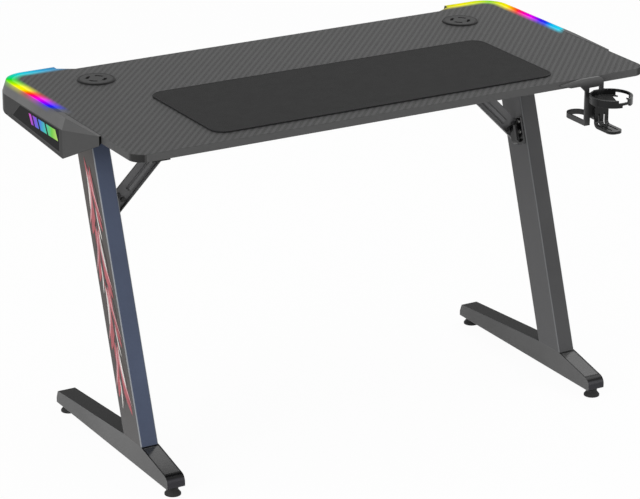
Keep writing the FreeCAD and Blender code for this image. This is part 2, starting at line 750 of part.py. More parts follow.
def grommet_slot(turn):
    """Return one curved cable slot of the left cap, as a cutter turned to its place."""
    inner = GROMMET_SLOT_RADIUS - GROMMET_SLOT_WIDTH / 2
    outer = GROMMET_SLOT_RADIUS + GROMMET_SLOT_WIDTH / 2
    base = Vec(-GROMMET_X, GROMMET_Y, BOARD_BOTTOM)
    height = BOARD_THICKNESS + GROMMET_FLANGE_HEIGHT
    wedge = Part.makeCylinder(outer, height, base, UP, GROMMET_SLOT_ANGLE)
    slot = wedge.cut(rod(base, UP, inner, height))
    slot.rotate(base, UP, turn)
    return slot


def make_grommet_cap():
    """Return the left cap: a disc with four curved cable slots and a skirt that drops into the bush."""
    seat = Vec(-GROMMET_X, GROMMET_Y, TOP_HEIGHT + GROMMET_FLANGE_LAP)
    rise = GROMMET_FLANGE_HEIGHT - GROMMET_FLANGE_LAP
    skirt_outer = GROMMET_HOLE_RADIUS - FIT_GAP - GROMMET_WALL - LOOSE_GAP
    skirt_inner = GROMMET_SLOT_RADIUS + GROMMET_SLOT_WIDTH / 2
    disc = rod(seat, UP, GROMMET_CAP_RADIUS, rise)
    low = seat - UP * GROMMET_SKIRT_DEPTH
    skirt = rod(low, UP, skirt_outer, GROMMET_SKIRT_DEPTH)
    skirt = skirt.cut(rod(low, UP, skirt_inner, GROMMET_SKIRT_DEPTH))
    step = 360 / GROMMET_SLOT_COUNT
    first = (step - GROMMET_SLOT_ANGLE) / 2
    slots = [grommet_slot(first + step * index) for index in range(GROMMET_SLOT_COUNT)]
    return disc.fuse(skirt).cut(slots).removeSplitter()


# Desk mat


def make_mouse_mat():
    """Return the loose mat with rounded corners, near the front edge of the board."""
    front = FRONT_Y + MAT_FRONT_MARGIN
    corners = rectangle(-MAT_WIDTH / 2, MAT_WIDTH / 2, front, front + MAT_DEPTH, MAT_CORNER_RADIUS)
    return plan_prism(corners, TOP_HEIGHT, TOP_HEIGHT + MAT_THICKNESS)


# Leg frames


def brace_direction():
    """Return the left brace's direction, upward and towards the middle of the desk."""
    return Vec(1, 0, 1).normalize()


def brace_places():
    """Return the (x, z) middles of the left brace's two bolted ends."""
    direction = brace_direction()
    reach = direction * (BRACE_FOOT_SETBACK + BRACE_SPAN)
    head = Vec(-LEG_INNER_X + reach.x, 0, RAIL_BOTTOM - BRACE_HEAD_DROP)
    foot = head - direction * BRACE_SPAN
    return [(foot.x, foot.z), (head.x, head.z)]


def brace_bolt_places():
    """Return the (x, z) places of the left brace's bolts, two across each end."""
    direction = brace_direction()
    places = []
    for x, z in brace_places():
        for side in (-1, 1):
            spread = side * BRACE_BOLT_SPREAD
            places.append((x - direction.z * spread, z + direction.x * spread))
    return places


def brace_bolt_holes(front, rear):
    """Return cutters for the left brace's bolt holes between two places on Y."""
    radius = BOLT_RADIUS + FIT_GAP
    return [rod(Vec(x, front, z), Vec(0, 1, 0), radius, rear - front) for x, z in brace_bolt_places()]


def brace_lug(x, z, behind, ahead):
    """Return a drilled lug behind one end of the left brace, reaching along it from the bolts both ways."""
    direction = brace_direction()
    across = Vec(-direction.z, 0, direction.x) * (LUG_WIDTH / 2)
    start = Vec(x, 0, z) - direction * behind
    end = Vec(x, 0, z) + direction * ahead
    corners = [(spot.x, spot.z) for spot in (start - across, end - across, end + across, start + across)]
    between = block(-LEG_INNER_X, LEG_INNER_X, FRONT_Y, REAR_Y, 0, BOARD_BOTTOM)
    lug = front_prism(corners, BRACE_BACK_Y, REAR_RAIL_Y).common(between)
    return lug.cut(brace_bolt_holes(BRACE_BACK_Y, REAR_RAIL_Y))


def make_leg():
    """Return the left leg: a slanted tube between foot beam and top rail, with the welded brace lug."""
    rise = RAIL_BOTTOM - BEAM_TOP
    travel = Vec(0, LEG_HEAD_Y - LEG_FOOT_Y, rise)
    outer = rectangle(-LEG_OUTER_X, -LEG_INNER_X, LEG_FOOT_Y, LEG_FOOT_Y + LEG_DEPTH, TUBE_CORNER)
    inner = rectangle(
        -LEG_OUTER_X + TUBE_WALL,
        -LEG_INNER_X - TUBE_WALL,
        LEG_FOOT_Y + TUBE_WALL,
        LEG_FOOT_Y + LEG_DEPTH - TUBE_WALL,
        TUBE_CORNER - TUBE_WALL,
    )
    lay = on_plan(BEAM_TOP)
    tube = prism(outer, lay, travel).cut(prism(inner, lay, travel))
    foot_x, foot_z = brace_places()[0]
    lug = brace_lug(foot_x, foot_z, BRACE_FOOT_SETBACK + LUG_WIDTH / 2, LUG_MARGIN)
    return tube.fuse(lug).removeSplitter()


def make_top_rail():
    """Return the left top rail: a tube under the board, drilled for the board screws and rail bolts."""
    end = TOP_RAIL_END_Y
    outer = block(-LEG_OUTER_X, -LEG_INNER_X, -end, end, RAIL_BOTTOM, BOARD_BOTTOM)
    bore = block(
        -LEG_OUTER_X + TUBE_WALL,
        -LEG_INNER_X - TUBE_WALL,
        -end,
        end,
        RAIL_BOTTOM + TUBE_WALL,
        BOARD_BOTTOM - TUBE_WALL,
    )
    holes = uprights(board_screw_places(), RAIL_BOTTOM, SCREW_RADIUS + FIT_GAP, RAIL_HEIGHT)
    return outer.cut([bore] + holes + rail_bolt_holes(-LEG_INNER_X - TUBE_WALL, -LEG_INNER_X))


def make_top_rail_caps():
    """Return the four plugs in the ends of the two top rails."""
    end = TOP_RAIL_END_Y
    left = -LEG_OUTER_X
    right = -LEG_INNER_X
    inset = TUBE_WALL + FIT_GAP
    plate = block(left, right, end, end + CAP_PLATE, RAIL_BOTTOM, BOARD_BOTTOM)
    plug = block(left + inset, right - inset, end - CAP_PLUG, end, RAIL_BOTTOM + inset, BOARD_BOTTOM - inset)
    rear = fused([plate, plug])
    front = rear.mirror(Vec(0, 0, 0), Vec(0, 1, 0))
    return group([rear, front, mirrored(rear), mirrored(front)])


# Foot beams


def beam_corners():
    """Return the (y, z) corners of the foot beam's side: tapered to the heel, sloped to a rounded nose."""
    low = BEAM_CLEARANCE
    return [
        (BEAM_NOSE_Y, low, BEAM_TOE_RADIUS),
        (BEAM_HEEL_Y, low),
        (BEAM_HEEL_Y, low + BEAM_HEEL_HEIGHT),
        (LEG_FOOT_Y + LEG_DEPTH, BEAM_TOP),
        (LEG_FOOT_Y, BEAM_TOP),
        (BEAM_NOSE_Y, low + BEAM_NOSE_HEIGHT, BEAM_NOSE_RADIUS),
    ]


def toe_height(y):
    """Return the height of the beam's front slope."""
    share = (LEG_FOOT_Y - y) / (LEG_FOOT_Y - BEAM_NOSE_Y)
    return BEAM_TOP + (BEAM_NOSE_HEIGHT - BEAM_LEG_HEIGHT) * share


def toe_slab(top_drop, bottom_drop, end_gap, edge):
    """Return a slab that follows the front slope, between two drops below it, inside the beam's edges."""
    start = LEG_FOOT_Y - TOE_START - end_gap
    end = LEG_FOOT_Y - TOE_START - TOE_LENGTH + end_gap
    corners = [
        (start, toe_height(start) - top_drop),
        (end, toe_height(end) - top_drop),
        (end, toe_height(end) - bottom_drop),
        (start, toe_height(start) - bottom_drop),
    ]
    return side_prism(corners, -LEG_OUTER_X + edge, -LEG_INNER_X - edge)


def foot_places():
    """Return the (x, y) places of the left front and left rear levelling feet."""
    return [(-LEG_CENTRE_X, FOOT_FRONT_Y), (-LEG_CENTRE_X, FOOT_REAR_Y)]


def heel_section(inset):
    """Return the width and height range of the beam's bore at the heel, drawn in by an inset."""
    left = -LEG_OUTER_X + TUBE_WALL + inset
    right = -LEG_INNER_X - TUBE_WALL - inset
    low = BEAM_CLEARANCE + TUBE_WALL + inset
    high = BEAM_CLEARANCE + BEAM_HEEL_HEIGHT - TUBE_WALL - inset
    return left, right, low, high


def make_foot_beam():
    """Return the left foot beam: a tapered tube, open at the heel, with a pocket for the toe plate."""
    bulk = side_prism(beam_corners(), -LEG_OUTER_X, -LEG_INNER_X)
    inner_wire = outline(beam_corners(), on_side(-LEG_OUTER_X + TUBE_WALL)).makeOffset2D(-TUBE_WALL, 2)
    bore = Part.Face(inner_wire).extrude(Vec(TUBE_WIDTH - 2 * TUBE_WALL, 0, 0))
    floor = toe_slab(0, TOE_POCKET_DEPTH + TUBE_WALL, -TUBE_WALL, 0)
    pocket = toe_slab(0, TOE_POCKET_DEPTH, 0, TOE_EDGE)
    left, right, low, high = heel_section(0)
    mouth = block(left, right, BEAM_HEEL_Y - CAP_PLUG, BEAM_HEEL_Y, low, high)
    holes = uprights(foot_places(), BEAM_CLEARANCE, STUD_RADIUS + HOLE_GAP, TUBE_WALL)
    return bulk.cut([bore.cut(floor), pocket, mouth] + holes).removeSplitter()


def make_toe_plate():
    """Return the left toe plate, which lies in the pocket of the beam's front slope."""
    top_drop = TOE_POCKET_DEPTH - TOE_PLATE_THICKNESS
    return toe_slab(top_drop, TOE_POCKET_DEPTH, LOOSE_GAP, TOE_EDGE + LOOSE_GAP)


def make_heel_cap():
    """Return the left heel cap, rounded at the top, with a plug in the beam that clears the foot's nut."""
    low = BEAM_CLEARANCE
    high = low + BEAM_HEEL_HEIGHT
    end = BEAM_HEEL_Y + HEEL_CAP_LENGTH
    corners = [
        (BEAM_HEEL_Y, low),
        (end, low),
        (end, low + HEEL_CAP_FACE, HEEL_CAP_RADIUS),
        (BEAM_HEEL_Y + HEEL_CAP_CROWN, high, HEEL_CAP_CROWN_RADIUS),
        (BEAM_HEEL_Y, high),
    ]
    cap = side_prism(corners, -LEG_OUTER_X, -LEG_INNER_X)
    left, right, plug_low, plug_high = heel_section(FIT_GAP)
    plug = block(left, right, BEAM_HEEL_Y - CAP_PLUG, BEAM_HEEL_Y, plug_low, plug_high)
    half_notch = NUT_FLATS / math.sqrt(3) + LOOSE_GAP
    notch_x = -LEG_CENTRE_X
    notch = block(notch_x - half_notch, notch_x + half_notch, FOOT_REAR_Y - CAP_PLUG, BEAM_HEEL_Y, low, high)
    return fused([cap, plug.cut(notch)])


# Levelling feet


def make_foot_nuts():
    """Return the four weld nuts on the floor of the beams."""
    low = BEAM_CLEARANCE + TUBE_WALL
    nuts = []
    for x, y in both_sides(foot_places()):
        nut = hexagon_bar(Vec(x, y, low), UP, NUT_FLATS, NUT_HEIGHT)
        nuts.append(nut.cut(rod(Vec(x, y, low), UP, STUD_RADIUS + THREAD_GAP, NUT_HEIGHT)))
    return group(nuts)


def make_foot_stud(x, y):
    """Return one threaded stud, moulded into its pad below and screwed into its nut above."""
    return rod(Vec(x, y, STUD_BOTTOM), UP, STUD_RADIUS, STUD_TOP - STUD_BOTTOM)


def make_foot_pad(x, y):
    """Return one bell-shaped pad, turned from its half section, with the blind hole for the stud."""
    top = BEAM_CLEARANCE - FOOT_GAP
    half_section = [
        (x, 0),
        (x + PAD_RADIUS, 0),
        (x + PAD_RADIUS, PAD_RIM_HEIGHT),
        (x + PAD_NECK_RADIUS, PAD_BELL_HEIGHT),
        (x + PAD_NECK_RADIUS, top),
        (x, top),
    ]
    pad = Part.Face(outline(half_section, on_front(y))).revolve(Vec(x, y, 0), UP, 360)
    return pad.cut(rod(Vec(x, y, STUD_BOTTOM), UP, STUD_RADIUS + THREAD_GAP, top - STUD_BOTTOM))


# Cross rails


def cross_rail_fronts():
    """Return the front faces of the front and rear cross rails on Y."""
    return [FRONT_RAIL_Y, REAR_RAIL_Y]


def rail_bolt_places():
    """Return the (y, z) places of the bolts at one end of both cross rails."""
    middle_z = (RAIL_BOTTOM + BOARD_BOTTOM) / 2
    places = []
    for front in cross_rail_fronts():
        places.append((front - END_PLATE_EAR / 2, middle_z))
        places.append((front + CROSS_RAIL_DEPTH + END_PLATE_EAR / 2, middle_z))
    return places


def rail_bolt_holes(left, right):
    """Return cutters for the left-hand rail bolts between two places on X."""
    axis = Vec(1, 0, 0)
    return [rod(Vec(left, y, z), axis, BOLT_RADIUS + FIT_GAP, right - left) for y, z in rail_bolt_places()]


def make_cross_rail(front):
    """Return a cross rail: a tube with a welded, drilled plate at each end."""
    rear = front + CROSS_RAIL_DEPTH
    end = LEG_INNER_X - END_PLATE_THICKNESS
    wall = TUBE_WALL
    ear = END_PLATE_EAR
    tube = block(-end, end, front, rear, RAIL_BOTTOM, BOARD_BOTTOM)
    bore = block(-end, end, front + wall, rear - wall, RAIL_BOTTOM + wall, BOARD_BOTTOM - wall)
    plate = block(-LEG_INNER_X, -end, front - ear, rear + ear, RAIL_BOTTOM, BOARD_BOTTOM)
    plate = plate.cut(rail_bolt_holes(-LEG_INNER_X, -end))
    return fused([tube.cut(bore), plate, mirrored(plate)])


def make_rear_cross_rail():
    """Return the rear cross rail with the two welded lugs for the heads of the braces."""
    head_x, head_z = brace_places()[1]
    lug = brace_lug(head_x, head_z, LUG_MARGIN, LUG_WELD)
    return fused([make_cross_rail(REAR_RAIL_Y), lug, mirrored(lug)])


# Diagonal braces


def make_brace():
    """Return the left brace: a strut with a pressed bead and a folded lower lip, cut off at the leg."""
    half = BRACE_WIDTH / 2
    start = -(BRACE_FOOT_SETBACK + half + BRACE_CORNER)
    end = BRACE_SPAN + BRACE_END
    strip = plan_prism(rectangle(start, end, -half, half, BRACE_CORNER), -BRACE_SHEET, 0)
    lip = block(start + BRACE_CORNER, end - BRACE_CORNER, -half, BRACE_SHEET - half, 0, BRACE_LIP)
    dent = brace_bead(BRACE_SHEET)
    brace = fused([strip, lip, brace_bead(0)]).cut(dent)
    foot_x, foot_z = brace_places()[0]
    along = brace_direction()
    across = Vec(-along.z, 0, along.x)
    turn = FreeCAD.Rotation(along, across, Vec(0, -1, 0), "XYZ")
    brace.Placement = FreeCAD.Placement(Vec(foot_x, BRACE_FACE_Y, foot_z), turn)
    leg_space = block(-LEG_OUTER_X, -LEG_INNER_X, FRONT_Y, REAR_Y, 0, TOP_HEIGHT)
    return brace.cut([leg_space] + brace_bolt_holes(BRACE_FACE_Y, BRACE_BACK_Y))


def brace_bead(shrink):
    """Return the brace's pressed bead, tapered from the strip's back to its crown, drawn in evenly."""
    half = BRACE_BEAD_WIDTH / 2 - shrink
    low = -BRACE_BEAD_OFFSET - half
    high = -BRACE_BEAD_OFFSET + half
    start = BRACE_BEAD_END + shrink
    end = BRACE_SPAN - BRACE_BEAD_END - shrink
    taper = BRACE_BEAD_TAPER
    base = outline(rectangle(start, end, low, high), on_plan(-BRACE_SHEET))
    crown_corners = rectangle(start + taper, end - taper, low + taper, high - taper)
    crown = outline(crown_corners, on_plan(BRACE_BEAD_HEIGHT - shrink))
    return Part.makeLoft([base, crown], True, True)


# Cup holder


def make_cup_bracket():
    """Return the cup holder's bracket: edge lip, jaw under the board, plate with two gaps and rear loop."""
    left = BRACKET_X - BRACKET_WIDTH / 2
    right = BRACKET_X + BRACKET_WIDTH / 2
    lip_left = BRACKET_X - BRACKET_LIP_REACH
    lip_top = TOP_HEIGHT - BRACKET_LIP_TOP_GAP
    lip_corners = [
        (lip_left, BOARD_BOTTOM + BRACKET_LIP_RISE),
        (lip_left + BRACKET_LIP_SLOPE, BOARD_BOTTOM),
        (right, BOARD_BOTTOM),
        (right, lip_top, BRACKET_LIP_RADIUS),
        (BRACKET_X - BRACKET_LIP_CREST, lip_top, BRACKET_LIP_RADIUS),
    ]
    lip = front_prism(lip_corners, BRACKET_FRONT_Y, FRONT_Y)
    jaw = block(left, right, FRONT_Y, FRONT_Y + BRACKET_JAW_DEPTH, BRACKET_JAW_BOTTOM, BOARD_BOTTOM)
    plate = block(left, right, BRACKET_FRONT_Y, FRONT_Y, BRACKET_BOTTOM, BOARD_BOTTOM)
    half_window = WINDOW_WIDTH / 2
    window_top = BRACKET_JAW_BOTTOM - WINDOW_TOP_BAR
    window_corners = rectangle(
        BRACKET_X - half_window, BRACKET_X + half_window, window_top - WINDOW_HEIGHT, window_top
    )
    window = front_prism(window_corners, BRACKET_FRONT_Y, FRONT_Y)
    foot_gap = block(
        left + PLATE_STRIP_LEFT,
        right - PLATE_STRIP_RIGHT,
        BRACKET_FRONT_Y,
        FRONT_Y,
        BRACKET_BOTTOM,
        BRACKET_BOTTOM + PLATE_CUT_HEIGHT,
    )
    gusset_corners = [
        (left - BRACKET_GUSSET, BOARD_BOTTOM),
        (left, BOARD_BOTTOM - BRACKET_GUSSET),
        (left, BOARD_BOTTOM),
    ]
    gusset = front_prism(gusset_corners, BRACKET_FRONT_Y, FRONT_Y)
    loop = loop_wall(left, right, 0).cut(loop_wall(left, right, LOOP_WALL))
    holes = uprights(cup_screw_places(), BRACKET_JAW_BOTTOM, SCREW_RADIUS + FIT_GAP, BRACKET_JAW_THICKNESS)
    return fused([lip, jaw, plate.cut([window, foot_gap]), gusset, loop]).cut(holes)


def loop_wall(left, right, inset):
    """Return the bulk of the bracket's rear loop, drawn in by an inset."""
    rear = FRONT_Y + LOOP_REACH - inset
    corners = [
        (left + inset, FRONT_Y),
        (right - inset, FRONT_Y),
        (right - inset, rear, LOOP_RADIUS - inset),
        (left + inset, rear, LOOP_RADIUS - inset),
    ]
    return plan_prism(corners, BRACKET_BOTTOM, BRACKET_BOTTOM + LOOP_HEIGHT)


def cup_sector(angle, start, width, low, high):
    """Return a cutter that runs outward from the cup's axis at an angle, from a start distance on."""
    half = width / 2
    sector = block(start, CUP_OUTER_RADIUS + CUP_WALL, -half, half, low, high)
    sector.rotate(Vec(0, 0, 0), UP, angle)
    sector.translate(Vec(CUP_X, CUP_Y, 0))
    return sector


def make_cup_cradle():
    """Return the cup cradle: notched ring with a part floor, pad on the bracket, back and slotted tongue."""
    ring_low = CUP_RING_TOP - CUP_RING_HEIGHT
    back_low = CUP_RING_TOP - CUP_BACK_DEPTH
    tongue_low = back_low - CUP_TONGUE_THICKNESS
    centre = Vec(CUP_X, CUP_Y, tongue_low)
    floor_top = ring_low + CUP_FLOOR_THICKNESS
    seat = rod(Vec(CUP_X, CUP_Y, floor_top), UP, CUP_RADIUS, CUP_RING_TOP - floor_top)
    ledge = rod(Vec(CUP_X, CUP_Y, ring_low), UP, CUP_RADIUS - CUP_LEDGE, CUP_FLOOR_THICKNESS)
    relief = rod(centre, UP, CUP_RADIUS + CUP_BACK_RELIEF, ring_low - tongue_low)
    hollow = [seat, ledge, relief]
    rear = CUP_Y + CUP_OUTER_RADIUS
    heel = rear - CUP_STANDOFF
    half_pad = CUP_PAD_WIDTH / 2
    pad_low = back_low + CUP_PAD_RISE
    ring = rod(Vec(CUP_X, CUP_Y, ring_low), UP, CUP_OUTER_RADIUS, CUP_RING_HEIGHT).cut(hollow)
    pad = block(CUP_X - half_pad, CUP_X + half_pad, CUP_Y, rear, pad_low, CUP_RING_TOP).cut(hollow)
    half_tongue = CUP_TONGUE_WIDTH / 2
    tip = rear - CUP_TONGUE_REACH
    tongue_corners = [
        (CUP_X - half_tongue, heel),
        (CUP_X - half_tongue, tip, CUP_TONGUE_TIP_RADIUS),
        (CUP_X + half_tongue, tip, CUP_TONGUE_TIP_RADIUS),
        (CUP_X + half_tongue, heel),
    ]
    arm_corners = [
        (heel, floor_top),
        (heel, tongue_low, CUP_HEEL_RADIUS),
        (tip, tongue_low),
        (tip, back_low),
        (heel - CUP_WALL, back_low, CUP_HEEL_INNER_RADIUS),
        (heel - CUP_WALL, floor_top),
    ]
    arm = side_prism(arm_corners, CUP_X - half_tongue, CUP_X + half_tongue)
    arm = arm.common(plan_prism(tongue_corners, tongue_low, floor_top))
    start = CUP_RADIUS - CUP_WALL
    notch_low = CUP_RING_TOP - CUP_NOTCH_DEPTH
    notch = cup_sector(CUP_NOTCH_ANGLE, start, CUP_NOTCH_WIDTH, notch_low, CUP_RING_TOP)
    gap = cup_sector(CUP_GAP_ANGLE, start, CUP_GAP_WIDTH, ring_low, ring_low + CUP_GAP_HEIGHT)
    scoop = cup_sector(CUP_SCOOP_ANGLE, start, CUP_SCOOP_WIDTH, ring_low, ring_low + CUP_SCOOP_HEIGHT)
    beyond = cup_sector(CUP_FLOOR_ANGLE, CUP_FLOOR_EDGE, 2 * CUP_OUTER_RADIUS, ring_low, floor_top)
    floor = rod(Vec(CUP_X, CUP_Y, ring_low), UP, CUP_RADIUS, CUP_FLOOR_THICKNESS).cut(beyond)
    slots = []
    for side in (-1, 1):
        left = CUP_X + side * CUP_SLOT_SPREAD - CUP_SLOT_WIDTH / 2
        right = left + CUP_SLOT_WIDTH
        slots.append(block(left, right, heel - CUP_SLOT_RUN, heel, tongue_low, back_low + CUP_SLOT_RISE))
        slots.append(block(left, right, tip + CUP_GROOVE_END, heel, back_low - CUP_GROOVE_DEPTH, back_low))
    return fused([ring.cut([notch, gap, scoop]), pad, arm, floor]).cut(slots).removeSplitter()


# Headphone hook


def hook_middle():
    """Return the middle of the hook's back plate on the leg's inner face, close to the leg's front edge."""
    z = HOOK_TOP - HOOK_HEIGHT / 2
    leg_front = LEG_FOOT_Y + (z - BEAM_TOP) * LEG_LEAN
    return Vec(LEG_INNER_X, leg_front + TUBE_CORNER + HOOK_MARGIN + HOOK_WIDTH / 2, z)


def lean_angle():
    """Return the turn about X, in degrees, that lays an upright piece along the leg."""
    return -math.degrees(math.atan(LEG_LEAN))


def make_headphone_hook():
    """Return the hook on the inside of the right leg: back plate, round bight and upturned finger."""
    middle = hook_middle()
    bottom = HOOK_TOP - HOOK_HEIGHT
    front = middle.y - HOOK_WIDTH / 2
    rear = middle.y + HOOK_WIDTH / 2
    plate_front = LEG_INNER_X - HOOK_THICKNESS
    finger_back = plate_front - HOOK_GAP
    finger_front = finger_back - HOOK_THICKNESS
    bight_radius = HOOK_GAP / 2
    centre_z = bottom + bight_radius + HOOK_THICKNESS
    plate = front_prism(rectangle(plate_front, LEG_INNER_X, bottom, HOOK_TOP, HOOK_TIP_RADIUS), front, rear)
    finger_corners = [
        (finger_front, centre_z),
        (finger_back, centre_z),
        (finger_back, bottom + HOOK_FINGER, HOOK_TIP_RADIUS),
        (finger_front, bottom + HOOK_FINGER, HOOK_TIP_RADIUS),
    ]
    finger = front_prism(finger_corners, front, rear)
    axis = Vec(0, 1, 0)
    centre = Vec((plate_front + finger_back) / 2, front, centre_z)
    bight = rod(centre, axis, bight_radius + HOOK_THICKNESS, HOOK_WIDTH)
    bight = bight.cut(rod(centre, axis, bight_radius, HOOK_WIDTH))
    bight = bight.common(block(finger_front, LEG_INNER_X, front, rear, bottom, centre_z))
    hook = fused([plate, finger, bight])
    hook.rotate(middle, Vec(1, 0, 0), lean_angle())
    return hook.cut(hook_screw_holes(plate_front, LEG_INNER_X, FIT_GAP))


def hook_screw_places():
    """Return the (y, z) places of the hook's two screws, one below the other along the leg."""
    middle = hook_middle()
    turn = FreeCAD.Rotation(Vec(1, 0, 0), lean_angle())
    upper = HOOK_HEIGHT / 2 - HOOK_SCREW_DROP
    spots = [middle + turn.multVec(Vec(0, 0, rise)) for rise in (upper, upper - HOOK_SCREW_SPREAD)]
    return [(spot.y, spot.z) for spot in spots]


def hook_screw_holes(left, right, gap):
    """Return cutters for the hook's screws between two places on X, with a gap round the screw."""
    radius = SCREW_RADIUS + gap
    return [rod(Vec(left, y, z), Vec(1, 0, 0), radius, right - left) for y, z in hook_screw_places()]


# Fasteners


def make_brace_bolts():
    """Return the eight bolts through the ends of the braces."""
    axis = Vec(0, 1, 0)
    reach = BRACE_SHEET + LUG_SHEET + BOLT_TAIL
    bolts = [bolt(Vec(x, BRACE_FACE_Y, z), axis, reach) for x, z in brace_bolt_places()]
    return group(bolts + [mirrored(item) for item in bolts])


def make_rail_bolts():
    """Return the eight bolts through the cross rails' end plates into the top rails."""
    start_x = -LEG_INNER_X + END_PLATE_THICKNESS
    axis = Vec(-1, 0, 0)
    reach = END_PLATE_THICKNESS + TUBE_WALL + BOLT_TAIL
    bolts = [bolt(Vec(start_x, y, z), axis, reach) for y, z in rail_bolt_places()]
    return group(bolts + [mirrored(item) for item in bolts])


def make_board_screws():
    """Return the six screws up through the top rails into the board."""
    reach = RAIL_HEIGHT + SCREW_BITE
    screws = [screw(Vec(x, y, RAIL_BOTTOM), UP, reach) for x, y in board_screw_places()]
    return group(screws + [mirrored(item) for item in screws])


def make_panel_screws():
    """Return the eight screws up through the wings' tabs into the board."""
    low = BOARD_BOTTOM - WING_WALL
    reach = WING_WALL + SCREW_BITE
    screws = [screw(Vec(x, y, low), UP, reach) for x, y in panel_screw_places()]
    return group(screws + [mirrored(item) for item in screws])


def make_cup_screws():
    """Return the two screws up through the cup holder's jaw into the board."""
    reach = BRACKET_JAW_THICKNESS + SCREW_BITE
    return group([screw(Vec(x, y, BRACKET_JAW_BOTTOM), UP, reach) for x, y in cup_screw_places()])


def make_hook_screws():
    """Return the two screws through the headphone hook into the right leg."""
    start_x = LEG_INNER_X - HOOK_THICKNESS
    reach = HOOK_THICKNESS + TUBE_WALL + BOLT_TAIL
    return group([screw(Vec(start_x, y, z), Vec(1, 0, 0), reach) for y, z in hook_screw_places()])


# Assembly


def make_pieces():
    """Return every piece by name, set out from the middle of the board."""
    pieces = {
        "tabletop": make_tabletop(),
        "mouse_mat": make_mouse_mat(),
        "top_rail_caps": make_top_rail_caps(),
        "front_cross_rail": make_cross_rail(FRONT_RAIL_Y),
        "rear_cross_rail": make_rear_cross_rail(),
        "foot_nuts": make_foot_nuts(),
        "cup_holder_bracket": make_cup_bracket(),
        "cup_cradle": make_cup_cradle(),
        "headphone_hook": make_headphone_hook(),
        "brace_bolts": make_brace_bolts(),
        "rail_bolts": make_rail_bolts(),
        "board_screws": make_board_screws(),
        "panel_screws": make_panel_screws(),
        "cup_screws": make_cup_screws(),
        "hook_screws": make_hook_screws(),
    }
    paired = {
        "side_panel": make_side_panel(),
        "light_diffuser": make_light_diffuser(),
        "led_strip": make_led_strip(),
        "badge_lens": make_badge_lens(),
        "badge_board": make_badge_board(),
        "grommet_bush": make_grommet_bush(),
        "grommet_cap": make_grommet_cap(),
        "leg": make_leg(),
        "top_rail": make_top_rail(),
        "foot_beam": make_foot_beam(),
        "toe_plate": make_toe_plate(),
        "heel_cap": make_heel_cap(),
        "brace": make_brace(),
    }
    for end, (x, y) in zip(("front", "rear"), foot_places()):
        paired[end + "_foot_stud"] = make_foot_stud(x, y)
        paired[end + "_foot_pad"] = make_foot_pad(x, y)
    for name, shape in paired.items():
        pieces["left_" + name] = shape
        pieces["right_" + name] = mirrored(shape)
    hook_holes = hook_screw_holes(LEG_INNER_X, LEG_INNER_X + TUBE_WALL, THREAD_GAP)
    pieces["right_leg"] = pieces["right_leg"].cut(hook_holes)
    return pieces


def main():
    """Move every piece to the shared frame and write it out."""
    os.makedirs("parts", exist_ok=True)
    for name, shape in make_pieces().items():
        shape.translate(Vec(0, MIDDLE_SHIFT_Y, 0))
        shape.exportStep("parts/" + name + ".step")


main()
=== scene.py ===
import math

import bmesh
import bpy
from bpy.props import FloatProperty, FloatVectorProperty, IntProperty, PointerProperty
from mathutils import Color, Matrix, Vector


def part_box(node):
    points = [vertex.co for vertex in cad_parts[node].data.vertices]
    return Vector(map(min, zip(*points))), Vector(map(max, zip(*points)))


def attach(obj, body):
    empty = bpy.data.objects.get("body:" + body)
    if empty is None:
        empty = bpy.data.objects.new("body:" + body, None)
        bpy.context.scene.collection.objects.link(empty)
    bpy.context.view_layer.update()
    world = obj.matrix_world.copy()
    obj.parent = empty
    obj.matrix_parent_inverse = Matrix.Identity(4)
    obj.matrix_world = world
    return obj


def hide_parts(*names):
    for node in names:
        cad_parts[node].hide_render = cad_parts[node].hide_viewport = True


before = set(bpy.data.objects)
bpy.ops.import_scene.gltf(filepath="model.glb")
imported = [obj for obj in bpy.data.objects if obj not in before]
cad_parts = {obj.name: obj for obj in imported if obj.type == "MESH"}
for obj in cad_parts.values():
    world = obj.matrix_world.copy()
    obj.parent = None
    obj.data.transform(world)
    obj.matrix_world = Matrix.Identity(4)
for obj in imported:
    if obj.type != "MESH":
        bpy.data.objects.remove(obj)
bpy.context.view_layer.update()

bl_info = {
    "name": "Gaming Desk Looks",
    "version": (1, 0, 0),
    "blender": (4, 5, 0),
    "location": "View3D > Sidebar > Desk",
    "description": "Finishes, desk mat, leg print and stage for the lit gaming desk",
    "category": "Object",
}

SIDES = ("left", "right")
UP = Vector((0, 0, 1))


# Colours

SCREEN_STEPS = 255


def from_screen(*steps):
    """Return a colour picked on screen, in 0 to 255 steps of red, green and blue, as linear light."""
    return tuple(Color([step / SCREEN_STEPS for step in steps]).from_srgb_to_scene_linear())


def grey(step):
    """Return a grey picked on screen as linear light."""
    return from_screen(step, step, step)


def shade(colour, factor, lift=0.0):
    """Return a linear colour made darker or brighter by a factor and a lift."""
    return tuple(min(1.0, level * factor + lift) for level in colour)


BLACK = (0.0, 0.0, 0.0)
WHITE = (1.0, 1.0, 1.0)
TAPE_WHITE = (0.7, 0.7, 0.68)
COPPER = (0.45, 0.22, 0.1)
DULL_ZINC = (0.42, 0.42, 0.42)
BRIGHT_ZINC = (0.62, 0.62, 0.6)

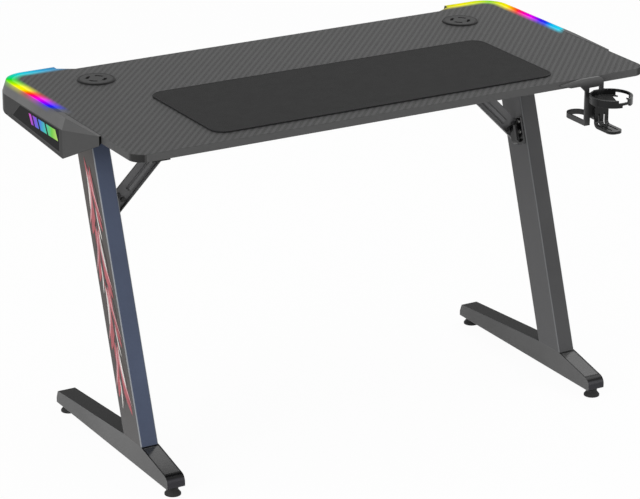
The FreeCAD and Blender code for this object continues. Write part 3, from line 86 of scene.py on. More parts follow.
# Colours along the light bars, from their rear ends at 0 to their front ends at 1.
LEFT_LIGHT_COLOURS = (
    (0.00, from_screen(62, 132, 184)),
    (0.10, from_screen(52, 168, 214)),
    (0.20, from_screen(30, 205, 222)),
    (0.29, from_screen(20, 214, 160)),
    (0.36, from_screen(20, 222, 40)),
    (0.44, from_screen(160, 240, 10)),
    (0.50, from_screen(255, 252, 0)),
    (0.57, from_screen(255, 240, 0)),
    (0.61, from_screen(255, 140, 0)),
    (0.645, from_screen(255, 40, 20)),
    (0.68, from_screen(255, 0, 120)),
    (0.74, from_screen(250, 0, 230)),
    (0.81, from_screen(150, 0, 250)),
    (0.87, from_screen(28, 20, 255)),
    (0.905, from_screen(30, 50, 210)),
    (0.935, from_screen(74, 80, 112)),
    (1.00, from_screen(84, 84, 88)),
)
RIGHT_LIGHT_COLOURS = (
    (0.00, from_screen(214, 210, 30)),
    (0.10, from_screen(246, 238, 0)),
    (0.22, from_screen(206, 232, 20)),
    (0.30, from_screen(140, 216, 50)),
    (0.38, from_screen(226, 236, 0)),
    (0.46, from_screen(255, 236, 0)),
    (0.52, from_screen(255, 140, 0)),
    (0.565, from_screen(255, 30, 40)),
    (0.62, from_screen(250, 0, 170)),
    (0.70, from_screen(226, 0, 240)),
    (0.785, from_screen(60, 10, 240)),
    (0.84, from_screen(20, 60, 240)),
    (0.90, from_screen(10, 190, 240)),
    (1.00, from_screen(40, 220, 240)),
)

# Colours along the lit motif, from its front at 0 to its rear at 1.
MOTIF_COLOURS = (
    (0.00, from_screen(206, 240, 120)),
    (0.22, from_screen(120, 220, 70)),
    (0.42, from_screen(60, 214, 190)),
    (0.62, from_screen(70, 130, 240)),
    (0.80, from_screen(140, 70, 235)),
    (1.00, from_screen(240, 90, 210)),
)


# Settings


class DeskBoardSettings(bpy.types.PropertyGroup):
    """Look of the board and the wings."""

    # Also painted as a highlight line just inside the edge of the black field on the wings.
    pale_stripe_and_rim_highlight: FloatVectorProperty(
        name="Light stripe", description="Paler stripe of the laminate, and the line round the motif's field",
        subtype="COLOR", default=grey(73))
    dark_stripe: FloatVectorProperty(
        name="Dark stripe", description="Darker stripe of the board's laminate", subtype="COLOR",
        default=grey(49))
    stripe_pitch: FloatProperty(
        name="Stripe pitch", description="Distance from one slanted stripe to the next", unit="LENGTH",
        default=0.0121)
    stripe_turn: FloatProperty(
        name="Stripe turn", description="Slant of the stripes on the board", subtype="ANGLE",
        default=math.radians(42.5))
    thread_pitch: FloatProperty(
        name="Thread pitch", description="Distance between the fine threads in the laminate", unit="LENGTH",
        default=0.0016)
    edge_band: FloatVectorProperty(
        name="Edge band", description="Plain band on the board's front and rear edges", subtype="COLOR",
        default=grey(84))
    side_band: FloatVectorProperty(
        name="Side band", description="Band on the board's left and right edges", subtype="COLOR",
        default=grey(68))
    # Painted shade on the rounded front corners, which turn away from the light.
    corner_shade: FloatVectorProperty(
        name="Corner band", description="Darker band round the board's front corners", subtype="COLOR",
        default=grey(38))
    seam: FloatProperty(
        name="Seam", description="Width of the dark seam between the board and the wings", unit="LENGTH",
        default=0.0026)
    underside: FloatVectorProperty(
        name="Underside", description="Backing sheet under the board", subtype="COLOR", default=grey(58))
    wing: FloatVectorProperty(
        name="Wing", description="Moulded plastic of the side wings", subtype="COLOR", default=grey(96))
    # Painted shade: the front face and the sloped facet are darker copies of the wing plastic.
    wing_front_shade: FloatVectorProperty(
        name="Wing front", description="Upright front face of the wings", subtype="COLOR", default=grey(66))
    wing_slope_shade: FloatVectorProperty(
        name="Wing slope", description="Sloped facet between the wings' bevel and front face",
        subtype="COLOR", default=grey(80))
    wing_side: FloatVectorProperty(
        name="Wing side", description="Darker outer face of the wings", subtype="COLOR", default=grey(53))
    # The black field and the seam are the wings' own colour; on the blunt front tips the same black is
    # painted shade.
    field_black_and_tip_shade: FloatVectorProperty(
        name="Wing panel", description="Black field round the lit motif, the wings' tips and the seam",
        subtype="COLOR", default=from_screen(14, 14, 15))
    wing_rise: FloatProperty(
        name="Wing rise", description="Rise of the wing's lower edge from front to rear", unit="LENGTH",
        default=0.022)
    field_margin: FloatProperty(
        name="Field margin", description="Space between the black field and the wing's lower edge",
        unit="LENGTH", default=0.009)
    field_rear: FloatProperty(
        name="Field rear", description="Place of the black field's rear end", unit="LENGTH", default=0.29)
    rear_corner_radius: FloatProperty(
        name="Rear corner", description="Rounding of the board's rear corners", unit="LENGTH", default=0.042)
    # Painted light: the bars' glow is painted on the board and the wings as emission.
    board_glow: FloatProperty(
        name="Board glow", description="How far the bars' light spreads on the board", unit="LENGTH",
        default=0.020)
    wing_glow: FloatProperty(
        name="Wing glow", description="How far the bars' light spreads on the wings", unit="LENGTH",
        default=0.0065)


class DeskLightSettings(bpy.types.PropertyGroup):
    """Light bars and lit motif."""

    bar_strength: FloatProperty(
        name="Light bar", description="Brightness of the light bars", min=0.0, default=1.0)
    motif_strength: FloatProperty(
        name="Motif", description="Brightness of the lit motif", min=0.0, default=0.8)


class DeskMatSettings(bpy.types.PropertyGroup):
    """Loose mat on the board."""

    cloth: FloatVectorProperty(
        name="Cloth", description="Top cloth of the mat", subtype="COLOR", default=grey(54))
    thread: FloatVectorProperty(
        name="Edge thread", description="Thread sewn round the mat's edge", subtype="COLOR",
        default=from_screen(16, 16, 17))
    weave_pitch: FloatProperty(
        name="Weave pitch", description="Distance between the threads of the cloth", unit="LENGTH",
        default=0.0011)
    corner_radius: FloatProperty(
        name="Corner radius", description="Rounding of the mat's corners", unit="LENGTH", default=0.031)
    hem: FloatProperty(
        name="Hem", description="Width of the sewn edge", unit="LENGTH", default=0.0036)
    stitch_pitch: FloatProperty(
        name="Stitch pitch", description="Distance between two stitches", unit="LENGTH", default=0.0036)
    corner_steps: IntProperty(
        name="Corner steps", description="Straight runs in each rounded corner", min=4, default=10)


class DeskFrameSettings(bpy.types.PropertyGroup):
    """Painted steel frame and small parts."""

    paint: FloatVectorProperty(
        name="Paint", description="Powder coat of the frame", subtype="COLOR",
        default=from_screen(84, 84, 85))
    left_leg: FloatVectorProperty(
        name="Left leg", description="Bluer powder coat of the left leg's front", subtype="COLOR",
        default=from_screen(71, 80, 101))
    left_leg_side: FloatVectorProperty(
        name="Left leg side", description="Film on the outside of the left leg, under its print",
        subtype="COLOR", default=from_screen(68, 64, 62))
    # Painted shade: the right leg's front is a darker copy of the frame's paint that covers its sides.
    right_leg: FloatVectorProperty(
        name="Right leg", description="Powder coat of the right leg's front", subtype="COLOR",
        default=from_screen(70, 70, 71))
    # Painted highlight: how much of the pale edge colour lies along each leg's front corners.
    left_corner_highlight: FloatProperty(
        name="Left wear", description="How far the left leg's front corners are rubbed", subtype="FACTOR",
        min=0.0, max=1.0, default=0.8)
    right_corner_highlight: FloatProperty(
        name="Right wear", description="How far the right leg's front corners are rubbed", subtype="FACTOR",
        min=0.0, max=1.0, default=0.4)
    # Painted highlight on the edges of the powder coat and along the legs' front corners.
    edge: FloatVectorProperty(
        name="Edge", description="Rubbed edges of the powder coat", subtype="COLOR",
        default=from_screen(150, 152, 154))
    # Painted light: the braces' coat is paler than the frame's paint, against the shade that they lie in
    # under the board.
    brace: FloatVectorProperty(
        name="Brace", description="Powder coat of the braces", subtype="COLOR",
        default=from_screen(101, 101, 102))
    beam: FloatVectorProperty(
        name="Beam", description="Powder coat of the foot beams' sides", subtype="COLOR", default=grey(87))
    nose: FloatVectorProperty(
        name="Nose", description="Dark coat of the beams' noses", subtype="COLOR",
        default=from_screen(48, 47, 52))
    # Painted shade: the beams' level top lies in the board's shade and is painted darker.
    beam_top_shade: FloatVectorProperty(
        name="Beam top", description="Darker upper face of the foot beams", subtype="COLOR",
        default=grey(34))
    toe: FloatVectorProperty(
        name="Toe plate", description="Plate in the front of the foot beams", subtype="COLOR",
        default=grey(52))
    bolt: FloatVectorProperty(
        name="Bolt", description="Black coat of the braces' bolts", subtype="COLOR",
        default=from_screen(46, 46, 47))
    # Painted highlight on the bolts' edges.
    bolt_edge: FloatVectorProperty(
        name="Bolt edge", description="Rubbed edges of the braces' bolts", subtype="COLOR",
        default=grey(120))
    bracket: FloatVectorProperty(
        name="Bracket", description="Dark grey plate and loop of the cup holder's bracket", subtype="COLOR",
        default=grey(50))
    bracket_lip: FloatVectorProperty(
        name="Bracket lip", description="Paler lip of the bracket on the board's edge", subtype="COLOR",
        default=grey(96))
    grommet_bush: FloatVectorProperty(
        name="Grommet bush", description="Dull plastic of the cable bushes", subtype="COLOR",
        default=grey(28))
    grommet_cap: FloatVectorProperty(
        name="Grommet cap", description="Paler plastic of the bushes' lids", subtype="COLOR",
        default=grey(55))
    # Painted light: the cradle's faces that look up are paler, for the light from above.
    cradle_top_light: FloatVectorProperty(
        name="Cradle top", description="Faces of the cup cradle that look up", subtype="COLOR",
        default=grey(56))
    # On the rims of the toe plates and on the braces' edges this black is painted shade.
    black: FloatVectorProperty(
        name="Black plastic", description="Cup cradle, hook, rail caps and the rims of the toe plates",
        subtype="COLOR", default=from_screen(13, 13, 14))
    rubber: FloatVectorProperty(
        name="Rubber", description="Pads of the levelling feet", subtype="COLOR", default=grey(36))


class DeskPrintSettings(bpy.types.PropertyGroup):
    """Streaks printed on the left leg."""

    red: FloatVectorProperty(
        name="Red ink", description="Ink of the broad streaks", subtype="COLOR",
        default=from_screen(168, 80, 86))
    pink: FloatVectorProperty(
        name="Pink ink", description="Ink of the slim streaks beside the red ones", subtype="COLOR",
        default=from_screen(204, 150, 154))
    dark: FloatVectorProperty(
        name="Dark ink", description="Ink of the shades between the streaks", subtype="COLOR",
        default=from_screen(60, 47, 47))
    white: FloatVectorProperty(
        name="White ink", description="Ink of the slim bright streaks", subtype="COLOR",
        default=from_screen(214, 210, 206))
    leg_depth: FloatProperty(
        name="Leg depth", description="Level depth of the slanted leg", unit="LENGTH", default=0.082)
    groups: IntProperty(
        name="Groups", description="Groups of streaks up the leg", min=1, default=4)
    start: FloatProperty(
        name="Start", description="Start of the print as a share of the leg's height", subtype="FACTOR",
        min=0.0, max=1.0, default=0.09)
    step: FloatProperty(
        name="Step", description="Share of the leg's height from one group to the next", subtype="FACTOR",
        min=0.0, max=1.0, default=0.18)
    film: FloatProperty(
        name="Film", description="Thickness of the printed film", unit="LENGTH", precision=5, default=0.0002)


class DeskStageSettings(bpy.types.PropertyGroup):
    """Floor, light and camera."""

    azimuth: FloatProperty(
        name="Azimuth", description="Turn of the camera round the desk", subtype="ANGLE",
        default=math.radians(-30.174))
    elevation: FloatProperty(
        name="Elevation", description="Height angle of the camera", subtype="ANGLE",
        default=math.radians(20.407))
    roll: FloatProperty(
        name="Roll", description="Turn of the camera about its own axis", subtype="ANGLE",
        default=math.radians(0.247))
    distance: FloatProperty(
        name="Distance", description="Camera to the point that it looks at", unit="LENGTH", default=6.3727)
    target: FloatVectorProperty(
        name="Target", description="Point that the camera looks at", subtype="XYZ",
        default=(0.00562, 0.0776, 0.33109))
    lens: FloatProperty(
        name="Lens", description="Focal length in millimetres", default=167.36)
    floor: FloatVectorProperty(
        name="Floor", description="Pale studio floor", subtype="COLOR", default=(0.9, 0.9, 0.9))
    floor_glow: FloatProperty(
        name="Floor glow", description="Share of plain white in what the camera sees of the floor",
        subtype="FACTOR", min=0.0, max=1.0, default=0.96)
    surround: FloatProperty(
        name="Surround", description="Strength of the light that comes from all round", min=0.0, default=0.45)


# Node helpers

# Places of the colour sockets on a mix node, which share their names with other sockets.
MIX_FIRST = 6
MIX_SECOND = 7
MIX_RESULT = 2

BEVEL_SAMPLES = 4


def feed(value, socket):
    """Feed a socket with another socket, a number or a linear colour."""
    if isinstance(value, bpy.types.NodeSocket):
        socket.id_data.links.new(value, socket)
    elif isinstance(value, (int, float)):
        socket.default_value = value
    else:
        socket.default_value = (*value, 1)


def finish(name, colour, roughness, gloss=0.25):
    """Return a new node material with its shader, coloured, as rough and as glossy as given."""
    material = bpy.data.materials.new(name)
    material.use_nodes = True
    shader = material.node_tree.nodes["Principled BSDF"]
    feed(colour, shader.inputs["Base Color"])
    feed(roughness, shader.inputs["Roughness"])
    feed(gloss, shader.inputs["Specular IOR Level"])
    return material, shader


def add(shader, kind, **settings):
    """Return a new node in the shader's tree, with properties set by name."""
    made = shader.id_data.nodes.new(kind)
    for key, value in settings.items():
        setattr(made, key, value)
    return made


def calculate(shader, operation, first, *others):
    """Return the output of a maths node, or of a chain of them; each input is a socket or a number."""
    result = first
    for other in others or (None,):
        made = add(shader, "ShaderNodeMath", operation=operation)
        feed(result, made.inputs[0])
        if other is not None:
            feed(other, made.inputs[1])
        result = made.outputs[0]
    return result


def stretch(shader, value, none_at, full_at, none=0.0, full=1.0, held=True):
    """Return a value carried from the range none_at to full_at into none to full, as a rule held in it."""
    made = add(shader, "ShaderNodeMapRange", clamp=held)
    feed(value, made.inputs["Value"])
    feed(none_at, made.inputs["From Min"])
    feed(full_at, made.inputs["From Max"])
    feed(none, made.inputs["To Min"])
    feed(full, made.inputs["To Max"])
    return made.outputs["Result"]


def blend_colours(shader, share, first, second):
    """Return a colour between two, each a socket or linear colour."""
    made = add(shader, "ShaderNodeMix", data_type="RGBA")
    feed(share, made.inputs["Factor"])
    feed(first, made.inputs[MIX_FIRST])
    feed(second, made.inputs[MIX_SECOND])
    return made.outputs[MIX_RESULT]


def place(shader):
    """Return the socket of the point's place in the desk's frame."""
    return add(shader, "ShaderNodeTexCoord").outputs["Object"]


def along(shader, socket):
    """Return the X, Y and Z sockets of a vector socket."""
    parts = add(shader, "ShaderNodeSeparateXYZ")
    feed(socket, parts.inputs[0])
    return parts.outputs[0], parts.outputs[1], parts.outputs[2]


def facing(shader):
    """Return the X, Y and Z sockets of the surface's direction."""
    return along(shader, add(shader, "ShaderNodeNewGeometry").outputs["True Normal"])


def speckle(shader, scale, detail=3.0):
    """Return a noise value of a scale, in the desk's frame."""
    noise = add(shader, "ShaderNodeTexNoise")
    feed(place(shader), noise.inputs["Vector"])
    feed(scale, noise.inputs["Scale"])
    feed(detail, noise.inputs["Detail"])
    return noise.outputs["Fac"]


def clouded(shader, cloud, darker, brighter):
    """Return a colour that drifts between two tones with a noise value."""
    return blend_colours(shader, stretch(shader, cloud, none_at=0.35, full_at=0.65), darker, brighter)


def ridges(shader, value, pitch):
    """Return a wave between 0 and 1 along a value, for stripes, threads and stitches."""
    turn = calculate(shader, "MULTIPLY", value, 2 * math.pi / pitch)
    return stretch(shader, calculate(shader, "SINE", turn), none_at=-1.0, full_at=1.0)


def soft_edges(shader, radius):
    """Return the direction of a surface whose edges are eased by a radius, and how near an edge it is."""
    eased = add(shader, "ShaderNodeBevel", samples=BEVEL_SAMPLES)
    feed(radius, eased.inputs["Radius"])
    flat = add(shader, "ShaderNodeNewGeometry").outputs["True Normal"]
    match = add(shader, "ShaderNodeVectorMath", operation="DOT_PRODUCT")
    feed(eased.outputs[0], match.inputs[0])
    feed(flat, match.inputs[1])
    return eased.outputs[0], stretch(shader, match.outputs["Value"], none_at=0.995, full_at=0.86)


def raise_relief(shader, height, depth, base=None):
    """Let a height value stand out of the surface by a depth."""
    bump = add(shader, "ShaderNodeBump")
    feed(depth, bump.inputs["Distance"])
    feed(height, bump.inputs["Height"])
    if base is not None:
        feed(base, bump.inputs["Normal"])
    feed(bump.outputs[0], shader.inputs["Normal"])


def vary_roughness(shader, value, low, high):
    """Let a value between 0 and 1 drive the roughness."""
    feed(stretch(shader, value, 0.0, 1.0, low, high), shader.inputs["Roughness"])


def colour_run(shader, share, stops):
    """Return the colour at a share along a row of (share, colour) stops."""
    made = add(shader, "ShaderNodeValToRGB")
    elements = made.color_ramp.elements
    feed(share, made.inputs[0])
    while len(elements) < len(stops):
        elements.new(1.0)
    for element, (spot, colour) in zip(elements, stops):
        element.position = spot
        element.color = (*colour, 1)
    return made.outputs["Color"]


def seen_rays(shader):
    """Return a value that is 1 for what the camera sees, straight, in gloss or through clear pieces."""
    rays = add(shader, "ShaderNodeLightPath").outputs
    kinds = ("Is Camera Ray", "Is Glossy Ray", "Is Transmission Ray")
    return calculate(shader, "MAXIMUM", *[rays[kind] for kind in kinds])


def dress(material, *names):
    """Put one material on every slot of the named CAD nodes."""
    for name in names:
        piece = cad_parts[name]
        if not piece.material_slots:
            piece.data.materials.append(material)
        for slot in piece.material_slots:
            slot.material = material


def on_both_sides(*names):
    """Return the left and right names of paired pieces."""
    return [side + "_" + name for name in names for side in SIDES]


# Light of the bars

# Share of the glow's reach that is lit in full, and how steeply the glow falls beyond it.
GLOW_CORE = 0.2
GLOW_FALL = 1.3


def bar_share(shader):
    """Return how far along the light bars a point lies, from 0 at the rear end to 1 at the front end."""
    low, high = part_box("left_light_diffuser")
    x, y, _ = along(shader, place(shader))
    walk = calculate(shader, "SUBTRACT", y, calculate(shader, "ABSOLUTE", x))
    return stretch(shader, walk, high.y + high.x, low.y + low.x, held=False)


def bar_colour(shader):
    """Return the colour of the light bars at a point, from the left or the right row of colours."""
    share = bar_share(shader)
    x, _, _ = along(shader, place(shader))
    right = calculate(shader, "GREATER_THAN", x, 0.0)
    left_colour = colour_run(shader, share, LEFT_LIGHT_COLOURS)
    right_colour = colour_run(shader, share, RIGHT_LIGHT_COLOURS)
    return blend_colours(shader, right, left_colour, right_colour)


def depth_from_edge(shader, look):
    """Return how far inside the board's rounded rear corners a point lies, negative outside the board."""
    _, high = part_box("tabletop")
    radius = look.rear_corner_radius
    x, y, _ = along(shader, place(shader))
    past_x = calculate(shader, "SUBTRACT", calculate(shader, "ABSOLUTE", x), high.x - radius)
    past_y = calculate(shader, "SUBTRACT", y, high.y - radius)
    squares = []
    for past in (past_x, past_y):
        out = calculate(shader, "MAXIMUM", past, 0.0)
        squares.append(calculate(shader, "MULTIPLY", out, out))
    outside = calculate(shader, "SQRT", calculate(shader, "ADD", *squares))
    inside = calculate(shader, "MINIMUM", calculate(shader, "MAXIMUM", past_x, past_y), 0.0)
    return calculate(shader, "SUBTRACT", radius, calculate(shader, "ADD", outside, inside))


def spread_bar_light(shader, look, reach):
    """Paint the light of the bars on the surface beside them as a glow that fades out over a reach, darkening
    the surface's own colour under it.
    """
    board_low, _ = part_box("tabletop")
    bar_low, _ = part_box("left_light_diffuser")
    half = (board_low.x - bar_low.x) / 2
    from_middle = calculate(shader, "ABSOLUTE", calculate(shader, "ADD", depth_from_edge(shader, look), half))
    away = calculate(shader, "MAXIMUM", calculate(shader, "SUBTRACT", from_middle, half), 0.0)
    fall = calculate(shader, "POWER", stretch(shader, away, reach, reach * GLOW_CORE), GLOW_FALL)
    share = bar_share(shader)
    past_rear = stretch(shader, share, none_at=-0.09, full_at=-0.04)
    before_front = stretch(shader, share, none_at=1.02, full_at=0.97)
    upward = stretch(shader, facing(shader)[2], none_at=0.1, full_at=0.4)
    level = calculate(shader, "MULTIPLY", fall, past_rear, before_front, upward)
    feed(bar_colour(shader), shader.inputs["Emission Color"])
    feed(level, shader.inputs["Emission Strength"])
    own_colour = shader.inputs["Base Color"].links[0].from_socket
    feed(blend_colours(shader, level, own_colour, BLACK), shader.inputs["Base Color"])


def light_bar(strength):
    """Return the glowing frosted plastic of the light bars."""
    material, shader = finish("light_bar", BLACK, roughness=0.35, gloss=0.0)
    frost = speckle(shader, scale=700.0, detail=2.0)
    feed(bar_colour(shader), shader.inputs["Emission Color"])
    feed(strength, shader.inputs["Emission Strength"])
    vary_roughness(shader, frost, low=0.3, high=0.45)
    raise_relief(shader, frost, depth=0.00005)
    return material


def lit_motif(strength, front, rear):
    """Return the motif's lens, whose colour runs from front to rear."""
    material, shader = finish("lit_motif", BLACK, roughness=0.3, gloss=0.05)
    _, y, _ = along(shader, place(shader))
    frost = speckle(shader, scale=500.0, detail=2.0)
    feed(colour_run(shader, stretch(shader, y, front, rear), MOTIF_COLOURS), shader.inputs["Emission Color"])
    feed(strength, shader.inputs["Emission Strength"])
    vary_roughness(shader, frost, low=0.25, high=0.4)
    raise_relief(shader, frost, depth=0.00004)
    return material


def circuit_tape():
    """Return the white tape of the light strips, with faint copper tracks."""
    material, shader = finish("circuit_tape", TAPE_WHITE, roughness=0.5)
    x, y, _ = along(shader, place(shader))
    track = ridges(shader, calculate(shader, "ADD", x, y), pitch=0.008)
    track = stretch(shader, track, none_at=0.86, full_at=0.94)
    feed(blend_colours(shader, track, TAPE_WHITE, COPPER), shader.inputs["Base Color"])
    vary_roughness(shader, track, low=0.55, high=0.3)
    return material


# Board laminate

# Shares of the stripes and of their threads in the laminate's tone, and the slant of the crossed threads.
STRIPE_TONE = 0.78
THREAD_TONE = 0.22
CROSS_SLANT = 0.5


def turned(shader, angle):
    """Return a point's place across and along slanted stripes on the board."""
    x, y, _ = along(shader, place(shader))
    side = math.sin(angle)
    ahead = math.cos(angle)
    across = calculate(shader, "SUBTRACT", calculate(shader, "MULTIPLY", x, ahead),
                       calculate(shader, "MULTIPLY", y, side))
    lengthwise = calculate(shader, "ADD", calculate(shader, "MULTIPLY", x, side),
                           calculate(shader, "MULTIPLY", y, ahead))
    return across, lengthwise


def crossed_threads(shader, look):
    """Return the laminate's slanted stripes and the relief of the threads in and between them."""
    across, lengthwise = turned(shader, look.stripe_turn)
    stripe = stretch(shader, ridges(shader, across, look.stripe_pitch), none_at=0.2, full_at=0.8)
    thread = ridges(shader, lengthwise, look.thread_pitch)
    lean = calculate(shader, "ADD", lengthwise, calculate(shader, "MULTIPLY", across, CROSS_SLANT))
    cross_thread = ridges(shader, lean, look.thread_pitch)
    between = calculate(shader, "SUBTRACT", 1.0, stripe)
    relief = calculate(shader, "ADD", calculate(shader, "MULTIPLY", stripe, thread),
                       calculate(shader, "MULTIPLY", between, cross_thread))
    return stripe, relief


def edge_bands(shader, look):
    """Return the colour of the bands on the board's front and sides, with painted shade on the rounded front
    corners.
    """
    turn_x, turn_y, _ = facing(shader)
    aside = calculate(shader, "ABSOLUTE", turn_x)
    ahead = stretch(shader, turn_y, none_at=-0.1, full_at=-0.3)
    # Painted shade on the rounded front corners.
    rounded = calculate(shader, "MULTIPLY", stretch(shader, aside, none_at=0.1, full_at=0.3), ahead)
    on_side = stretch(shader, aside, none_at=0.9, full_at=0.99)
    band = blend_colours(shader, on_side, look.edge_band, look.side_band)
    return blend_colours(shader, rounded, band, look.corner_shade)


def wing_seam(shader, look):
    """Return a value that is 1 in the dark seam where the board meets a wing."""
    wing_low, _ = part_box("left_side_panel")
    _, y, _ = along(shader, place(shader))
    beside_wing = stretch(shader, y, wing_low.y, wing_low.y + look.seam)
    in_seam = stretch(shader, depth_from_edge(shader, look), look.seam, look.seam / 2)
    return calculate(shader, "MULTIPLY", in_seam, beside_wing)


def striped_laminate(look):
    """Return the board's laminate: diagonal stripes of crossed threads, plain bands and a plain underside."""
    material, shader = finish("striped_laminate", look.pale_stripe_and_rim_highlight, roughness=0.5, gloss=0.12)
    stripe, relief = crossed_threads(shader, look)
    main = calculate(shader, "MULTIPLY", stripe, STRIPE_TONE)
    fine = calculate(shader, "MULTIPLY", relief, THREAD_TONE)
    cloud = speckle(shader, scale=60.0)
    mottle = stretch(shader, cloud, none_at=0.3, full_at=0.7, none=-0.06, full=0.06)
    tone = calculate(shader, "ADD", main, fine, mottle)
    colour = blend_colours(shader, tone, look.dark_stripe, look.pale_stripe_and_rim_highlight)
    colour = blend_colours(shader, wing_seam(shader, look), colour, look.field_black_and_tip_shade)
    _, _, turn_z = facing(shader)
    on_edge = stretch(shader, turn_z, none_at=0.9, full_at=0.6)
    colour = blend_colours(shader, on_edge, colour, edge_bands(shader, look))
    below = stretch(shader, turn_z, none_at=-0.6, full_at=-0.9)
    colour = blend_colours(shader, below, colour, look.underside)
    feed(colour, shader.inputs["Base Color"])
    vary_roughness(shader, relief, low=0.56, high=0.44)
    spread_bar_light(shader, look, look.board_glow)
    eased, _ = soft_edges(shader, radius=0.0008)
    raise_relief(shader, relief, depth=0.00006, base=eased)
    return material


# Plastics

# Makes of plastic that more than one piece has.
GLOSSY_BLACK = {"roughness": 0.22, "grain": 1300.0, "depth": 0.00003, "painted_edging": 0.8, "gloss": 0.25, "rub": 0.1}
DULL_MOULDING = {"roughness": 0.5, "grain": 1300.0, "depth": 0.00004, "painted_edging": 0.5, "gloss": 0.1}

# How far the roughness of a grained plastic strays from its mean.
ROUGHNESS_STRAY = 0.07

# How far the black field's rear end leans to the front with each metre of height.
FIELD_LEAN = -1.2


def grained_plastic(name, colour, roughness, grain, depth, painted_edging, gloss=0.3, rub=0.02):
    """Return moulded plastic with a fine grain and a painted highlight on its edges, its shader and its
    colour socket.
    """
    material, shader = finish(name, colour, roughness, gloss)
    cloud = speckle(shader, scale=9.0)
    fine = speckle(shader, scale=grain, detail=2.0)
    tone = clouded(shader, cloud, shade(colour, factor=0.88), shade(colour, factor=1.1))
    eased, edge = soft_edges(shader, radius=0.0009)
    # Painted highlight: the edges are made paler.
    highlighted = shade(colour, factor=1.5, lift=rub)
    tone = blend_colours(shader, calculate(shader, "MULTIPLY", edge, painted_edging), tone, highlighted)
    feed(tone, shader.inputs["Base Color"])
    vary_roughness(shader, fine, roughness - ROUGHNESS_STRAY, roughness + ROUGHNESS_STRAY)
    raise_relief(shader, fine, depth, eased)
    return material, shader, tone


def depth_in_field(shader, look):
    """Return how far inside the black field round the motif a point on a wing's side lies."""
    low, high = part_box("left_side_panel")
    motif_low, motif_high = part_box("left_badge_lens")
    margin = look.field_margin
    _, y, z = along(shader, place(shader))
    lower_edge = stretch(shader, y, motif_low.y, high.y, low.z, low.z + look.wing_rise)
    above = calculate(shader, "SUBTRACT", z, calculate(shader, "ADD", lower_edge, margin))
    beneath = calculate(shader, "SUBTRACT", motif_high.z + margin / 2, z)
    past_front = calculate(shader, "SUBTRACT", y, motif_low.y - margin / 2)
    lean = calculate(shader, "MULTIPLY", calculate(shader, "SUBTRACT", z, low.z), FIELD_LEAN)
    before_rear = calculate(shader, "ADD", calculate(shader, "SUBTRACT", look.field_rear, y), lean)
    return calculate(shader, "MINIMUM", above, beneath, past_front, before_rear)


def wing_plastic(look):
    """Return the wings' plastic: a dark outer face with a black field round the motif and a painted highlight
    line round it, painted shade on the front face and the sloped facet, and painted shade in black on the
    tip.
    """
    material, shader, tone = grained_plastic(
        "wing_plastic", look.wing, roughness=0.46, grain=1100.0, depth=0.00005, painted_edging=0.4, gloss=0.05)
    turn_x, turn_y, turn_z = facing(shader)
    outward = stretch(shader, calculate(shader, "ABSOLUTE", turn_x), none_at=0.97, full_at=0.99)
    tone = blend_colours(shader, outward, tone, look.wing_side)
    # Painted shade on the sloped facet and on the upright front face.
    ahead = stretch(shader, turn_y, none_at=-0.02, full_at=-0.06)
    tone = blend_colours(shader, ahead, tone, look.wing_slope_shade)
    upright = stretch(shader, turn_z, none_at=0.4, full_at=0.2)
    front = calculate(shader, "MULTIPLY", ahead, upright)
    tone = blend_colours(shader, front, tone, look.wing_front_shade)
    inside = depth_in_field(shader, look)
    field = calculate(shader, "MULTIPLY", stretch(shader, inside, none_at=-0.0003, full_at=0.0003), outward)
    # Painted highlight: a pale line just inside the black field's edge.
    line = calculate(shader, "MULTIPLY", field, stretch(shader, inside, none_at=0.0016, full_at=0.0010))
    tone = blend_colours(shader, field, tone, look.field_black_and_tip_shade)
    tone = blend_colours(shader, line, tone, look.pale_stripe_and_rim_highlight)
    # Painted shade: the blunt front tip is painted black.
    tip = stretch(shader, turn_y, none_at=-0.9, full_at=-0.97)
    tone = blend_colours(shader, tip, tone, look.field_black_and_tip_shade)
    feed(tone, shader.inputs["Base Color"])
    spread_bar_light(shader, look, look.wing_glow)
    return material


def bracket_plastic(look):
    """Return the cup bracket's plastic: a paler lip on the board's edge over a dark plate."""
    lip_start = 0.002
    lip_end = 0.004
    material, shader, tone = grained_plastic(
        "bracket_plastic", look.bracket, roughness=0.35, grain=1300.0, depth=0.00004, painted_edging=0.4)
    board_low, board_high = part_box("tabletop")
    _, _, z = along(shader, place(shader))
    lip = stretch(shader, z, board_low.z - lip_start, board_high.z - lip_end)
    feed(blend_colours(shader, lip, tone, look.bracket_lip), shader.inputs["Base Color"])
    return material


def cradle_plastic(look):
    """Return the cup cradle's black plastic, with painted light on the faces that look up."""
    material, shader, tone = grained_plastic("cradle_plastic", look.black, **GLOSSY_BLACK)
    _, _, turn_z = facing(shader)
    upper = stretch(shader, turn_z, none_at=0.6, full_at=0.9)
    feed(blend_colours(shader, upper, tone, look.cradle_top_light), shader.inputs["Base Color"])
    return material


# Steel

# How much smoother the coat is on the beams' noses and round the toe plates.
NOSE_POLISH = 0.2


def powder_coat(name, colour, edge_colour, painted_edging, edge_width=0.0012):
    """Return powder-coated steel with fine orange peel and its edges painted in the edge colour, its shader
    and its colour socket; a pale edge colour is a painted highlight and a dark one is painted shade.
    """
    material, shader = finish(name, colour, roughness=0.45, gloss=0.18)
    cloud = speckle(shader, scale=5.0)
    peel = speckle(shader, scale=900.0, detail=2.0)
    tone = clouded(shader, cloud, shade(colour, factor=0.9), shade(colour, factor=1.1))
    eased, edge = soft_edges(shader, edge_width)
    # Painted edges: a highlight where the edge colour is pale, shade where it is dark.
    tone = blend_colours(shader, calculate(shader, "MULTIPLY", edge, painted_edging), tone, edge_colour)
    feed(tone, shader.inputs["Base Color"])
    vary_roughness(shader, peel, low=0.36, high=0.5)
    raise_relief(shader, peel, depth=0.00012, base=eased)
    return material, shader, tone


